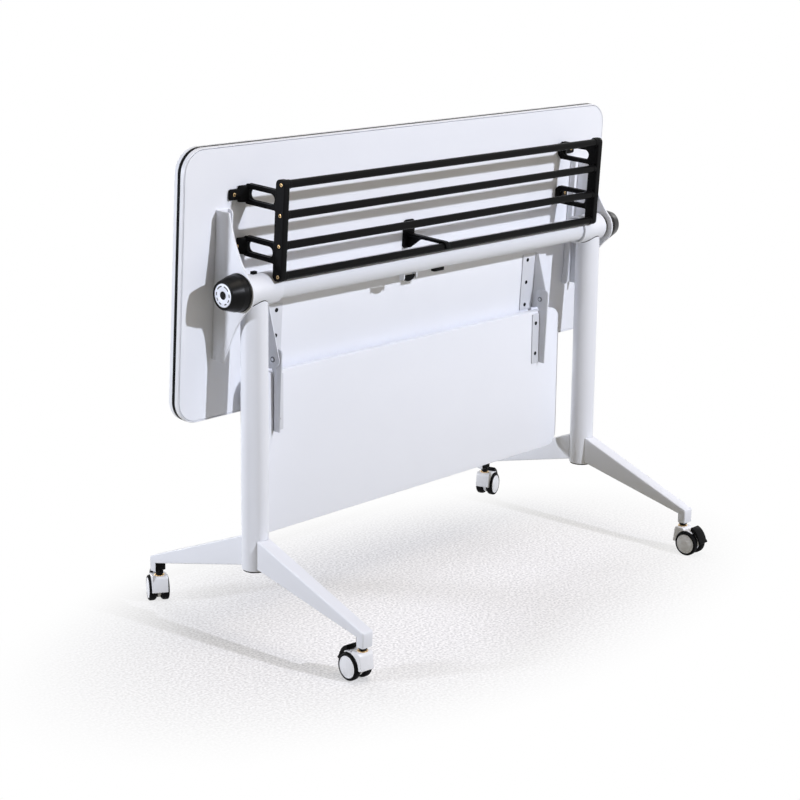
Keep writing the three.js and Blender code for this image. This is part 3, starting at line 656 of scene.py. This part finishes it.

# Black band trimmed to the seam where the column meets the head: painted shade in that gap
seam_shade = turned("column_seal_right", rounded(rod(SEAM_SHADE_RADIUS, SEAM_SHADE_BOTTOM, SEAM_SHADE_TOP)), 96)
put(seam_shade, (COLUMN_X, FLIP.y, 0))
combine(seam_shade, head_space("core"), "INTERSECT")
pair(seam_shade, "stand", nylon_black, "black_plastic")
pair(column, "stand", powder_white, "white_paint", "column_right")
pair(cap, "stand", nylon_black, "black_plastic")
pair(head, "stand", powder_white, "white_casting", "head_right")

beam = along_beam(turned("beam_tube", rounded(rod(BEAM_RADIUS, -BEAM_HALF, BEAM_HALF)), 96))
lug = plate("lug", rounded([
    (-LUG_HALF, LUG_BOTTOM, 4), (LUG_HALF, LUG_BOTTOM, 4), (LUG_HALF, LUG_TOP, 0), (-LUG_HALF, LUG_TOP, 0)]),
    0, LUG_THICK)
soften(lug, 0.5, 2)
lug_reach = LEVER_RADIUS + LUG_GAP
face_side(lug, (LEVER_X + lug_reach, FLIP.y, FLIP.z))
other_lug = put(twin(lug, "other_lug"), (-2 * lug_reach - LUG_THICK, 0, 0))
dress(gather("beam_tube", other_lug, lug, beam), "stand", powder_white, "white_paint", "beam")


def plug(name, half, corner, edge, at):
    """A small black plug pressed into the painted tube."""
    piece = plate(name, rectangle(-half[0], -half[1], half[0], half[1], corner), 0, PLUG_HEIGHT)
    dress(put(soften(piece, edge), at), "stand", nylon_black, "black_plastic")


plug("beam_plug", BEAM_PLUG_HALF, 4, 1.2, BEAM_PLUG_PLACE)
plug("head_plug", HEAD_PLUG_HALF, 1.5, 0.8, HEAD_PLUG_PLACE)

# Feet: a tapered arm trimmed to its plan, and at its tip a boss that a black insert closes on the column side

foot = face_side(plate("foot", [
    (0, FOOT_BOTTOM[0]), (FOOT_REACH, FOOT_BOTTOM[1]), (FOOT_REACH, FOOT_TOP[1]), (0, FOOT_TOP[0])],
    -FOOT_BLANK_HALF, FOOT_BLANK_HALF))
plan = plate("plan", rounded([
    (FOOT_HALF_WIDTH, 0, 0), (FOOT_TIP, FOOT_REACH, FOOT_TIP_ROUND),
    (-FOOT_TIP, FOOT_REACH, FOOT_TIP_ROUND), (-FOOT_HALF_WIDTH, 0, 0)]), *FOOT_PLAN_HEIGHTS)
soften(combine(foot, plan, "INTERSECT"), 2.6, 4, 30)
boss_face = FOOT_REACH - BOSS_THICK
boss_half = FOOT_TIP - BOSS_INSET
boss = plate("boss", rectangle(-boss_half, boss_face, boss_half, FOOT_REACH - BOSS_INSET, FOOT_TIP_ROUND),
             BOSS_BOTTOM, BOSS_TOP)
combine(foot, soften(boss, 0.8, 2), "UNION")
socket = turned("socket", rounded(rod(FOOT_SOCKET_RADIUS, 0, FOOT_SOCKET_HEIGHT)), 96)
combine(foot, socket, "DIFFERENCE")
insert_half = FOOT_TIP - INSERT_INSET
insert = plate("insert", rectangle(
    -insert_half, boss_face - INSERT_PROUD, insert_half, boss_face + INSERT_SINK, 1.5),
    INSERT_BOTTOM, INSERT_TOP)
soften(insert, 0.6, 2)
for place in TRAIL_ANGLES:
    spot = (COLUMN_X if place.endswith("right") else -COLUMN_X, FLIP.y, 0)
    turn = (0, 0, 0 if place.startswith("rear") else 180)
    piece = put(twin(foot, "foot_arm_" + place), spot, turn)
    dress(piece, "stand", powder_white, "white_casting", "foot_" + place)
    piece = put(twin(insert, "foot_insert_" + place), spot, turn)
    dress(piece, "stand", nylon_black, "black_plastic")
bpy.data.objects.remove(insert)
bpy.data.objects.remove(foot)

# Hubs: friction ring, knob, face disc with plain printed dashes

ring = along_beam(turned("hub_ring_right", rounded([
    (RING_BORE, RING_INNER, 0), (RING_RADIUS, RING_INNER, 0.5), (RING_RADIUS, RING_INNER + RING_RIM, 0.3),
    (RING_GROOVE, RING_INNER + RING_SLOPE, 0), (RING_GROOVE, RING_OUTER - RING_SLOPE, 0),
    (RING_RADIUS, RING_OUTER - RING_RIM, 0.3), (RING_RADIUS, RING_OUTER, 0.5),
    (RING_BORE, RING_OUTER, 0)], 3), 72))
pair(ring, "stand", nylon_black, "black_plastic", "friction_ring_right")

knob = along_beam(turned("hub_knob_right", rounded([
    (0, KNOB_BASE, 0), (KNOB_SKIRT, KNOB_BASE, 0.8), (KNOB_SKIRT, KNOB_SKIRT_END, 0.8),
    (KNOB_STEP, KNOB_STEP_END, 0.5), (KNOB_SHOULDER, KNOB_SHOULDER_END, 5), (KNOB_RIM, KNOB_FACE, 2.2),
    (DISC_SEAT_RADIUS, KNOB_FACE, 0.6), (DISC_SEAT_RADIUS, KNOB_FACE - DISC_SEAT, 0),
    (0, KNOB_FACE - DISC_SEAT, 0)]), 96))
disc = along_beam(turned("knob_disc_right", rounded([
    (DISC_HOLE, DISC_BACK, 0), (DISC_RADIUS, DISC_BACK, 0), (DISC_RADIUS, DISC_FRONT, 0.3),
    (DISC_HOLE, DISC_FRONT, 0.3)], 3), 72))
dashes = []
for start, end in DASHES:
    dash = plate("dash", arc(0, 0, DASH_OUTER, start, end, 10) + arc(0, 0, DASH_INNER, end, start, 10),
                 DASH_BACK, DASH_FRONT)
    dashes.append(face_side(dash, FLIP))
marks = gather("knob_marks_right", *dashes)
pair(knob, "stand", abs_black, "black_plastic", "knob_right")
pair(disc, "stand", disc_silver, "bright_steel")
pair(marks, "stand", ink_black, "black_plastic")

# Flip release lever

lever_place = (LEVER_X, FLIP.y, FLIP.z - LEVER_DROP)
lever_curve = [(x, y * LEVER_DEPTH / LEVER_RADIUS) for x, y in arc(0, 0, LEVER_RADIUS, 180, 360, 32)]
lever = plate("lever_paddle", lever_curve, -LEVER_HALF_THICK, LEVER_HALF_THICK)
face_user(soften(lever, 0.9, 3), lever_place)
lever_pin = turned("lever_pin", rounded(rod(
    LEVER_PIN_RADIUS, -LEVER_PIN_HALF, LEVER_PIN_HALF, 0.6, 0.6), 3), 24)
put(lever_pin, lever_place, (0, 90, 0))
dress(gather("lever_paddle", lever_pin, lever), "lever", nylon_black, "black_plastic", "release_lever")

# Top: melamine board, white edge band and the black strip let into it


def board_outline(inset):
    """The board's outline, drawn in by inset."""
    x, z = (half - inset for half in BOARD_HALF)
    return rectangle(-x, -z, x, z, BOARD_CORNER - inset, 14)


def edge_wrap(name, inset, thickness, low, high):
    """A strip bent round the board's edge: the outline's edge loop drawn out and thickened inwards."""
    piece = draw(name, [(x, z, low) for x, z in board_outline(inset)], "NOTHING")
    bpy.ops.mesh.extrude_region_move(TRANSFORM_OT_translate={"value": (0, 0, (high - low) * MM)})
    close_up()
    wall = piece.modifiers.new("wall", "SOLIDIFY")
    wall.thickness = thickness * MM
    wall.offset = -1
    wall.use_even_offset = True
    bpy.ops.object.modifier_apply(modifier=wall.name)
    return piece


far_face = UNDERSIDE + BOARD_THICK
board = plate("board_core", board_outline(BAND + BAND_GAP), -far_face, -UNDERSIDE - BOARD_SINK)
soften(board, 0.3, 1)
dress(lean(face_user(board)), "top", melamine_white, "white_board", "tabletop")
band = edge_wrap("board_edge_band", 0, BAND, -far_face, -UNDERSIDE)
soften(band, 1.6, 4)
dress(lean(face_user(band)), "top", band_white, "white_board")
strip = edge_wrap("board_edge_strip", -STRIPE_PROUD, STRIPE_THICK, -STRIPE[1], -STRIPE[0])
soften(strip, 0.3, 2)
dress(lean(face_user(strip)), "top", band_black, "black_edge", "edge_stripe")

# Flip brackets: a web across the hub, a flange under the board and a low lip along its inner edge

web_top = (WEB_EDGE, BRACKET_REACH)
web_bottom = (WEB_EDGE, -BRACKET_REACH)
web_outline = ([(BRACKET_FACE, BRACKET_REACH), web_top] + curve(web_top, WEB_PULL_TOP, NOSE_TOP)
               + arc(0, 0, NOSE_RADIUS, *NOSE_ANGLES, 16) + curve(NOSE_BOTTOM, WEB_PULL_BOTTOM, web_bottom)
               + [web_bottom, (BRACKET_FACE, -BRACKET_REACH)])
web = plate("bracket_web_right", web_outline, WEB_INNER, WEB_OUTER)
lean(face_side(soften(web, 0.8, 3)))
flange = plate("flange", rectangle(FLANGE_INNER, -BRACKET_REACH, FLANGE_OUTER, BRACKET_REACH, 2),
               -BRACKET_FACE, -BRACKET_FACE + BRACKET_SHEET)
face_user(soften(flange, 0.6, 2))
lip_edge = BRACKET_FACE - LIP_HEIGHT
lip = plate("lip", rounded([
    (BRACKET_FACE, -BRACKET_REACH, 0), (BRACKET_FACE, BRACKET_REACH, 0),
    (lip_edge, BRACKET_REACH, LIP_ROUND), (lip_edge, -BRACKET_REACH, LIP_ROUND)]),
    LIP_INNER, LIP_INNER + BRACKET_SHEET)
face_side(soften(lip, 0.8, 3))
flange = lean(gather("bracket_flange_right", lip, flange))
pair(web, "top", powder_white, "white_paint", "flip_bracket_right")
pair(flange, "top", powder_white, "white_paint")

# Book rack: moulded ends with grooved arms, bars with collars, gold screws and a middle hanger


def arm_slab(height, inset, low, high):
    """One layer of a windowed arm, flared where it meets the strip and blunt at the board."""
    bottom = height - ARM_HALF + inset
    top = height + ARM_HALF - inset
    tip = BRACKET_FACE - inset
    body = plate("slab", rounded([
        (ARM_ROOT, bottom - ARM_FLARE, 0), (ARM_NECK, bottom - ARM_FLARE, 0), (ARM_NECK, bottom, ARM_FLARE),
        (tip - ARM_BLUNT, bottom, 3), (tip, bottom + ARM_BLUNT, 3), (tip, top - ARM_BLUNT, 3),
        (tip - ARM_BLUNT, top, 3), (ARM_NECK, top, ARM_FLARE), (ARM_NECK, top + ARM_FLARE, 0),
        (ARM_ROOT, top + ARM_FLARE, 0)]), low, high)
    half = WINDOW_HALF + inset
    window = plate("window", rectangle(
        WINDOW_ENDS[0] - inset, height - half, WINDOW_ENDS[1] + inset, height + half, half),
        low - WINDOW_CLEAR, high + WINDOW_CLEAR)
    return soften(combine(body, window, "DIFFERENCE"), 0.5, 2)


rack_strip = plate("rack_strip", rectangle(
    STRIP_FACE, BARS[0] - STRIP_END, STRIP_FACE + STRIP_WIDTH, BARS[-1] + STRIP_END, STRIP_ROUND),
    RACK_INNER, RACK_OUTER)
soften(rack_strip, 2.2, 4)
sink_mouth = RACK_OUTER + CUT_CLEAR
for height in BARS:
    sink = turned("sink", [
        (0, SINK_FLOOR), (SINK_RADII[0], SINK_FLOOR), (SINK_RADII[1], sink_mouth), (0, sink_mouth)], 32)
    combine(rack_strip, put(sink, (RACK_Y, height, 0)), "DIFFERENCE")
layers = [rack_strip]
for height in ARMS:
    layers.append(arm_slab(height, 0, RACK_INNER + ARM_SKIN[0], RACK_INNER + ARM_SKIN[1]))
    layers.append(arm_slab(height, 0, RACK_OUTER - ARM_SKIN[1], RACK_OUTER - ARM_SKIN[0]))
    layers.append(arm_slab(height, ARM_GROOVE, RACK_INNER + ARM_CORE, RACK_OUTER - ARM_CORE))
rack_end = face_side(gather("rack_moulding_right", *layers))
gold = []
for height, reach, spot in zip(ARMS, TAB_REACH, TAB_SCREW):
    tab = plate("tab", rectangle(TAB_ROOT, height - TAB_HALF, reach, height + TAB_HALF, 4.5),
                -BRACKET_FACE, -BRACKET_FACE + TAB_THICK)
    face_user(soften(tab, 1.2))
    gusset = plate("gusset", [
        (TAB_ROOT, GUSSET_FACES[0]), (GUSSET_NEAR, GUSSET_FACES[0]), (GUSSET_FAR, GUSSET_FACES[1]),
        (GUSSET_FAR, BRACKET_FACE), (TAB_ROOT, BRACKET_FACE)], height - GUSSET_HALF, height + GUSSET_HALF)
    rack_end = gather("rack_moulding_right", tab, soften(gusset, 2, 3), rack_end)
    head_screw = screw("gold", GOLD_HEAD, GOLD_TAB_HEIGHT, GOLD_SOCKET)
    gold.append(face_user(head_screw, (spot, BRACKET_FACE - TAB_THICK, height)))
lean(rack_end)
for height in BARS:
    head_screw = screw("gold", GOLD_HEAD, GOLD_END_HEIGHT, GOLD_SOCKET)
    gold.append(put(head_screw, (SINK_FLOOR, RACK_Y, height), (0, 90, 0)))
gold = lean(gather("rack_screws_right", *gold))
pair(rack_end, "top", nylon_black, "black_plastic", "rack_end_right")
pair(gold, "top", passivate_gold, "bright_steel")

for i, height in enumerate(BARS):
    bar = turned("rack_tube_" + str(i + 1), rounded([
        (0, -BAR_HALF, 0), (BAR_COLLAR, -BAR_HALF, 0), (BAR_COLLAR, -BAR_COLLAR_START, 0.8),
        (BAR_RADIUS, -BAR_STRAIGHT_HALF, 0), (BAR_RADIUS, BAR_STRAIGHT_HALF, 0),
        (BAR_COLLAR, BAR_COLLAR_START, 0.8), (BAR_COLLAR, BAR_HALF, 0), (0, BAR_HALF, 0)], 3), 40)
    lean(put(bar, (0, RACK_Y, height), (0, 90, 0)))
    dress(bar, "top", tube_black, "black_tube", "rack_bar_" + str(i + 1))

hanger_plate = plate("hanger_plate", rectangle(
    HANGER_X - HANGER_HALF, HANGER_HEIGHTS[0], HANGER_X + HANGER_HALF, HANGER_HEIGHTS[1], HANGER_ROUND),
    -BRACKET_FACE, -BRACKET_FACE + HANGER_SHEET)
face_user(soften(hanger_plate, 0.7))
arm_bottom, arm_top = HANGER_ARM_HEIGHTS
hanger_rib = plate("hanger_rib", rounded([
    (HANGER_BACK, RIB_FOOT, 0), (HANGER_BACK, arm_top, 0), (RACK_Y, arm_top, 0), (RACK_Y, RIB_BOTTOM, 0),
    (RIB_BEND, RIB_BOTTOM, 12), (RIB_HEEL, RIB_FOOT, 4)]), -RIB_HALF, RIB_HALF)
face_side(soften(hanger_rib, 0.5), (HANGER_X, 0, 0))
hanger_arm = plate("hanger_arm", [
    (HANGER_BACK, arm_bottom), (HANGER_BACK, arm_top), (RACK_Y, arm_top), (RACK_Y, arm_bottom)],
    -HANGER_ARM_HALF, HANGER_ARM_HALF)
face_side(soften(hanger_arm, 0.8), (HANGER_X, 0, 0))
clip_start, clip_end = CLIP_ANGLES
clip = plate("clip", arc(RACK_Y, BARS[0], CLIP_RADII[1], clip_start, clip_end, 30)
             + arc(RACK_Y, BARS[0], CLIP_RADII[0], clip_end, clip_start, 30),
             -HANGER_ARM_HALF, HANGER_ARM_HALF)
face_side(soften(clip, 0.5, 2, 60), (HANGER_X, 0, 0))
hanger = gather("rack_hanger_moulding", hanger_plate, hanger_rib, hanger_arm, clip)
dress(lean(hanger), "top", nylon_black, "black_plastic", "rack_hanger")

# Modesty panel and its hinges


def hinge_sheet(name, web, flange, holes, hole_x):
    """A folded hinge half: a web across the pin and a flange with screw holes."""
    body = face_side(soften(web, 0.4, 2))
    leaf = face_user(soften(flange, 0.4, 2))
    for height in holes:
        hole = turned("hole", rounded(rod(HINGE_HOLE, -HINGE_CUT_HALF, HINGE_CUT_HALF)), 24)
        combine(leaf, face_user(hole, (hole_x, 0, height)), "DIFFERENCE")
    return gather(name, leaf, body)


def hinge_screws(name, holes, hole_x, seat):
    """The dark screws that fill a hinge half's holes."""
    screws = []
    for height in holes:
        screws.append(face_user(screw("dark", DARK_HEAD, DARK_HEIGHT, DARK_SOCKET), (hole_x, seat, height)))
    return gather(name, *screws)


upper_web = plate("web", [(UPPER_BACK, UPPER_TOP), (UPPER_FRONT, UPPER_TOP)]
                  + arc(*UPPER_EYE, UPPER_EYE_RADIUS, *UPPER_EYE_ANGLES, 24) + [(UPPER_BACK, UPPER_BOTTOM)],
                  HINGE_X - HINGE_SHEET, HINGE_X)
upper_flange = plate("flange", rectangle(UPPER_INNER, UPPER_BOTTOM, HINGE_X, UPPER_TOP, 2),
                     -BRACKET_FACE, -BRACKET_FACE + HINGE_SHEET)
upper_hinge = lean(hinge_sheet("hinge_upper_right", upper_web, upper_flange, UPPER_HOLES, UPPER_HOLE_X))
eye_front, eye_back = LOWER_EYE_SIDES
lower_web = plate("web", [(LOWER_BACK, LOWER_BOTTOM), (LOWER_BACK, LOWER_NECK), LOWER_SHOULDER]
                  + arc(eye_back, LOWER_EYE_HEIGHT, LOWER_EYE_RADIUS, 0, 90, 10)
                  + arc(eye_front, LOWER_EYE_HEIGHT, LOWER_EYE_RADIUS, 90, 180, 10)
                  + [(LOWER_FRONT, LOWER_BOTTOM)], LOWER_X - HINGE_SHEET, LOWER_X)
lower_flange = plate("flange", rectangle(LOWER_INNER, LOWER_BOTTOM, LOWER_X, LOWER_FLANGE_TOP, 2),
                     -LOWER_BACK, -LOWER_BACK + HINGE_SHEET)
lower_hinge = put(hinge_sheet("hinge_lower_right", lower_web, lower_flange, LOWER_HOLES, LOWER_HOLE_X), PIVOT)
upper_screws = lean(hinge_screws("hinge_upper_screws_right", UPPER_HOLES, UPPER_HOLE_X, UPPER_SCREW_SEAT))
lower_screws = hinge_screws("hinge_lower_screws_right", LOWER_HOLES, LOWER_HOLE_X, LOWER_SCREW_SEAT)
put(lower_screws, PIVOT)
pin_head = turned("pin_head", rounded(rod(PIN_WASHER, HINGE_X, PIN_WASHER_FACE, 0, 0.4), 4), 40)
rivet = turned("hinge_rivet_right", rounded(rod(RIVET_RADIUS, *RIVET_HEAD, 0, 1), 4), 32)
put(rivet, PIVOT, (0, 90, 0))
pin_tip = turned("hinge_tip_right", rounded(rod(RIVET_RADIUS, *RIVET_TAIL, 1), 4), 32)
put(pin_tip, PIVOT, (0, 90, 0))
pin_end = turned("pin_end", rounded(rod(PIN_NUT, PIN_NUT_FACE, LOWER_X - HINGE_SHEET, 0.6), 4), 40)
pin = put(gather("hinge_bolt_right", pin_end, pin_head), PIVOT, (0, 90, 0))
pair(upper_hinge, "top", powder_grey, "grey_steel", "upper_hinge_right")
pair(upper_screws, "top", oxide_dark, "dark_steel")
pair(lower_hinge, "panel", powder_grey, "grey_steel", "lower_hinge_right")
pair(lower_screws, "panel", oxide_dark, "dark_steel")
pair(pin, "panel", steel_grey, "dark_steel", "hinge_pin_right")
pair(rivet, "panel", zinc_bright, "bright_steel")
pair(pin_tip, "panel", zinc_bright, "bright_steel")

panel = plate("panel_board", rectangle(
    -PANEL_HALF, PANEL_BOTTOM, PANEL_HALF, PANEL_TOP, PANEL_CORNER, 14), *PANEL_FACES)
soften(panel, 1, 3)
dress(face_user(panel, PIVOT), "panel", melamine_white, "white_board", "modesty_panel")

# Casters: threaded stem with nut and gold washer, hood, twin wheels with white discs, brake pedal

fender_front, fender_turn, fender_rear = FENDER_ANGLES
fender = (arc(TRAIL, WHEEL, FENDER_FRONT, fender_front, fender_turn, 32)
          + arc(TRAIL, WHEEL, FENDER_REAR, fender_turn, fender_rear, 14))
hood = plate("hood", rounded(
    [(HOOD_TOE, HOOD_BOTTOM, 1.5)] + [(x, z, 0) for x, z in fender]
    + [(HOOD_CROWN[1], HOOD_TOP, 2), (HOOD_CROWN[0], HOOD_TOP, 3), (*HOOD_BROW, 3)], 3),
    -HOOD_HALF, HOOD_HALF)
soften(hood, 2.4, 4, 50)
fin_low, fin_brow, fin_top = FIN_HEIGHTS
fin_arm = plate("fin_arm", rounded([
    (FIN_FRONT, fin_low, 2), (TRAIL, WHEEL, 0), (TRAIL, fin_top, 0), (FIN_FRONT, fin_brow, 4)], 3),
    -FIN_HALF, FIN_HALF)
fin = turned("fin", rounded(rod(FIN_RADIUS, -FIN_HALF, FIN_HALF, 1, 1), 3), 48)
put(fin, (TRAIL, WHEEL, 0))
hood = face_user(gather("hood", fin_arm, fin, hood))
tread = turned("tread", rounded([
    (TREAD_BORE, TREAD_INNER, 0), (WHEEL, TREAD_INNER, 7), (WHEEL, TREAD_OUTER, 3.2), (*TREAD_LIP, 0.6),
    (*TREAD_SEAT, 0), (TREAD_BORE, TREAD_SEAT[1], 0)], 5), 72)
disc_back, disc_rim = WHEEL_DISC_FACES
disc_edge = arc(WHEEL_DISC_EDGE - WHEEL_DISC_ROUND, disc_rim, WHEEL_DISC_ROUND, 0, 90, 4)
wheel_disc = turned("wheel_disc", [
    (0, disc_back), (WHEEL_DISC_EDGE, disc_back)] + disc_edge + WHEEL_DISC_DISH, 72)
pedal = plate("pedal", arc(0, 0, PEDAL_INSIDE, *PEDAL_ANGLES, 24) + [PEDAL_NOSE]
              + curve(PEDAL_NOSE, PEDAL_PULL, PEDAL_BACK) + PEDAL_TAIL, -PEDAL_HALF, PEDAL_HALF)
face_user(soften(pedal, 1.3, 3, 50), (TRAIL, 0, WHEEL))
stem = turned("stem", rounded(rod(STEM_RADIUS, *STEM_HEIGHTS, 0.5, 0.5), 2), 32)
nut = plate("nut", hexagon(NUT_RADIUS), *NUT_HEIGHTS)
stem = gather("stem", soften(nut, 0.7, 2), stem)
washer_hole, washer_edge = WASHER_RADII
washer_low, washer_high = WASHER_HEIGHTS
washer = turned("washer", rounded([
    (washer_hole, washer_low, 0), (washer_edge, washer_low, 0.4), (washer_edge, washer_high, 0.4),
    (washer_hole, washer_high, 0)], 3), 48)

for place, angle in TRAIL_ANGLES.items():
    spot = middle("caster_stem_" + place)
    spot.z = 0
    heading = Vector((cos(radians(angle)), sin(radians(angle)), 0))
    axle = spot + heading * TRAIL + Vector((0, 0, WHEEL))
    caster = "caster_" + place
    piece = put(twin(stem, "caster_bolt_" + place), spot)
    dress(piece, "stand", oxide_dark, "dark_steel", "caster_stem_" + place)
    piece = put(twin(washer, "caster_washer_" + place), spot)
    dress(piece, caster, passivate_gold, "bright_steel")
    piece = put(twin(hood, "caster_cowl_" + place), spot, (0, 0, angle))
    dress(piece, caster, abs_white, "white_plastic", "caster_hood_" + place)
    piece = put(twin(pedal, "caster_pedal_" + place), spot, (0, 0, angle))
    dress(piece, "pedal_" + place, nylon_black, "black_plastic", "brake_pedal_" + place)
    for wheel, tilt in (("a", -90), ("b", 90)):
        body = "wheel_" + wheel + "_" + place
        piece = put(twin(tread, "caster_tread_" + wheel + "_" + place), axle, (tilt, 0, angle))
        dress(piece, body, tread_black, "wheel_rubber", "caster_wheel_" + wheel + "_" + place)
        piece = put(twin(wheel_disc, "caster_disc_" + wheel + "_" + place), axle, (tilt, 0, angle))
        dress(piece, body, abs_white, "white_plastic")
for piece in (hood, tread, wheel_disc, pedal, stem, washer):
    bpy.data.objects.remove(piece)

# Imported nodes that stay: steel inside the hubs, the beam and the casters
for name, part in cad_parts.items():
    if name.startswith(("hub_shaft", "lock_rod", "caster_axle")):
        part.data.materials.clear()
        part.data.materials.append(zinc_bright)


def seen_directly(tree):
    """A socket that is 1 where the camera, a reflection or clear glass looks, and 0 for stray light."""
    ray = node(tree, "ShaderNodeLightPath", {})
    seen = node(tree, "ShaderNodeMath",
                {0: ray.outputs["Is Camera Ray"], 1: ray.outputs["Is Glossy Ray"]}, operation="MAXIMUM")
    seen = node(tree, "ShaderNodeMath",
                {0: seen.outputs[0], 1: ray.outputs["Is Transmission Ray"]}, operation="MAXIMUM")
    return seen.outputs[0]


# Floor: pale speckled ground that fades to white away from the table, and that throws a warm grey back at it

SPECK = 5
SPECK_DARK = (0.36, "C2C0C1")
SPECK_PALE = (0.64, "FFFDFD")
BOUNCE = "A09C8C"
# In metres: the plane, and the oval that the fade follows, longer along the beam
FLOOR_SIZE = 14
OVAL_SCALE = (1 / 1.8, 1, 0)
OVAL_SHIFT = (0.07, 0.05, 0)
FADE = {"From Min": 0.2, "From Max": 0.54, "To Min": 0.32, "To Max": 1}

bpy.ops.object.select_all(action="DESELECT")
bpy.ops.mesh.primitive_plane_add(size=FLOOR_SIZE, location=(0, 0, 0))
floor = bpy.context.object
floor.name = "floor"
ground = bpy.data.materials.new("floor_speckled_pale")
ground.use_nodes = True
tree = ground.node_tree
tree.nodes.clear()
place = node(tree, "ShaderNodeTexCoord", {})
speck = node(tree, "ShaderNodeTexNoise",
             {"Vector": place.outputs["Object"], "Scale": 1 / (SPECK * MM), "Detail": 2})
shade = node(tree, "ShaderNodeValToRGB", {"Fac": speck.outputs[0]})
for stop, (position, colour) in zip(shade.color_ramp.elements, (SPECK_DARK, SPECK_PALE)):
    stop.position = position
    stop.color = linear(colour)
matt = node(tree, "ShaderNodeBsdfDiffuse", {"Color": shade.outputs[0]})
bounce = node(tree, "ShaderNodeBsdfDiffuse", {"Color": linear(BOUNCE)})
glow = node(tree, "ShaderNodeEmission", {"Color": (1, 1, 1, 1), "Strength": 1})
oval = node(tree, "ShaderNodeVectorMath",
            {0: place.outputs["Object"], 1: OVAL_SCALE, 2: OVAL_SHIFT}, operation="MULTIPLY_ADD")
reach = node(tree, "ShaderNodeVectorMath", {0: oval.outputs[0]}, operation="LENGTH")
fade = node(tree, "ShaderNodeMapRange", {"Value": reach.outputs["Value"], **FADE},
            interpolation_type="SMOOTHSTEP")
pale = node(tree, "ShaderNodeMixShader", {"Fac": fade.outputs[0], 1: matt.outputs[0], 2: glow.outputs[0]})
mixed = node(tree, "ShaderNodeMixShader",
             {"Fac": seen_directly(tree), 1: bounce.outputs[0], 2: pale.outputs[0]})
node(tree, "ShaderNodeOutputMaterial", {"Surface": mixed.outputs[0]})
floor.data.materials.append(ground)

# Studio: white surround that lights little, a key lamp in front, soft fills above, behind and at the right,
# and a rim lamp behind the left end

WARM = "FFF4E6"
COOL = "EFF3FF"
NEUTRAL = "FFFFFF"
SURROUND_LIGHT = 0.1

world = bpy.data.worlds.new("studio")
bpy.context.scene.world = world
world.use_nodes = True
tree = world.node_tree
tree.nodes.clear()
soft = node(tree, "ShaderNodeBackground", {"Color": linear(WARM), "Strength": SURROUND_LIGHT})
white = node(tree, "ShaderNodeBackground", {"Color": (1, 1, 1, 1), "Strength": 1})
mixed = node(tree, "ShaderNodeMixShader",
             {"Fac": seen_directly(tree), 1: soft.outputs[0], 2: white.outputs[0]})
node(tree, "ShaderNodeOutputWorld", {"Surface": mixed.outputs[0]})


def lamp(name, at, target, size, watts, colour):
    """A square soft box at a place in metres, facing a target."""
    bpy.ops.object.light_add(type="AREA", location=at)
    made = bpy.context.object
    made.name = name
    made.data.size = size
    made.data.energy = watts
    made.data.color = linear(colour)[:3]
    made.rotation_euler = (Vector(target) - Vector(at)).to_track_quat("-Z", "Y").to_euler()


lamp("key_front", (0.85, -5.1, 3.03), (0, 0, 0.6), 0.15, 258, COOL)
lamp("fill_top", (0.2, -0.9, 3.2), (0, 0, 0.5), 1.4, 26, WARM)
lamp("fill_right", (3.2, -3.2, 1.4), (0, 0, 0.6), 1.2, 8, WARM)
lamp("fill_back", (0.5, 4, 1.5), (0, 0, 0.5), 1.6, 50, NEUTRAL)
lamp("side_right", (2.8, 0.07, 1.43), (0, 0, 0.3), 0.5, 5, NEUTRAL)
lamp("rim_left", (-4.2, 1.8, 1.3), (-0.4, 0, 0.5), 0.5, 142, COOL)

# Camera at the photograph's place

CAMERA_PLACE = (-2748.3, -2434.07, 1329.3)
YAW = radians(43.508)
PITCH = radians(12.077)
ROLL = radians(0.487)
SENSOR_WIDTH = 36
LENS = 85.867
SHIFT_X = 0.0357
SHIFT_Y = -0.1093

ahead = Vector((cos(YAW) * cos(PITCH), sin(YAW) * cos(PITCH), -sin(PITCH)))
across = ahead.cross(Vector((0, 0, 1))).normalized()
upward = across.cross(ahead)
right = across * cos(ROLL) + upward * sin(ROLL)
bpy.ops.object.camera_add(location=Vector(CAMERA_PLACE) * MM)
camera = bpy.context.object
camera.rotation_euler = Matrix((right, right.cross(ahead), -ahead)).transposed().to_euler()
camera.data.sensor_width = SENSOR_WIDTH
camera.data.lens = LENS
camera.data.shift_x = SHIFT_X
camera.data.shift_y = SHIFT_Y
bpy.context.scene.camera = camera
bpy.context.scene.view_settings.view_transform = "Standard"
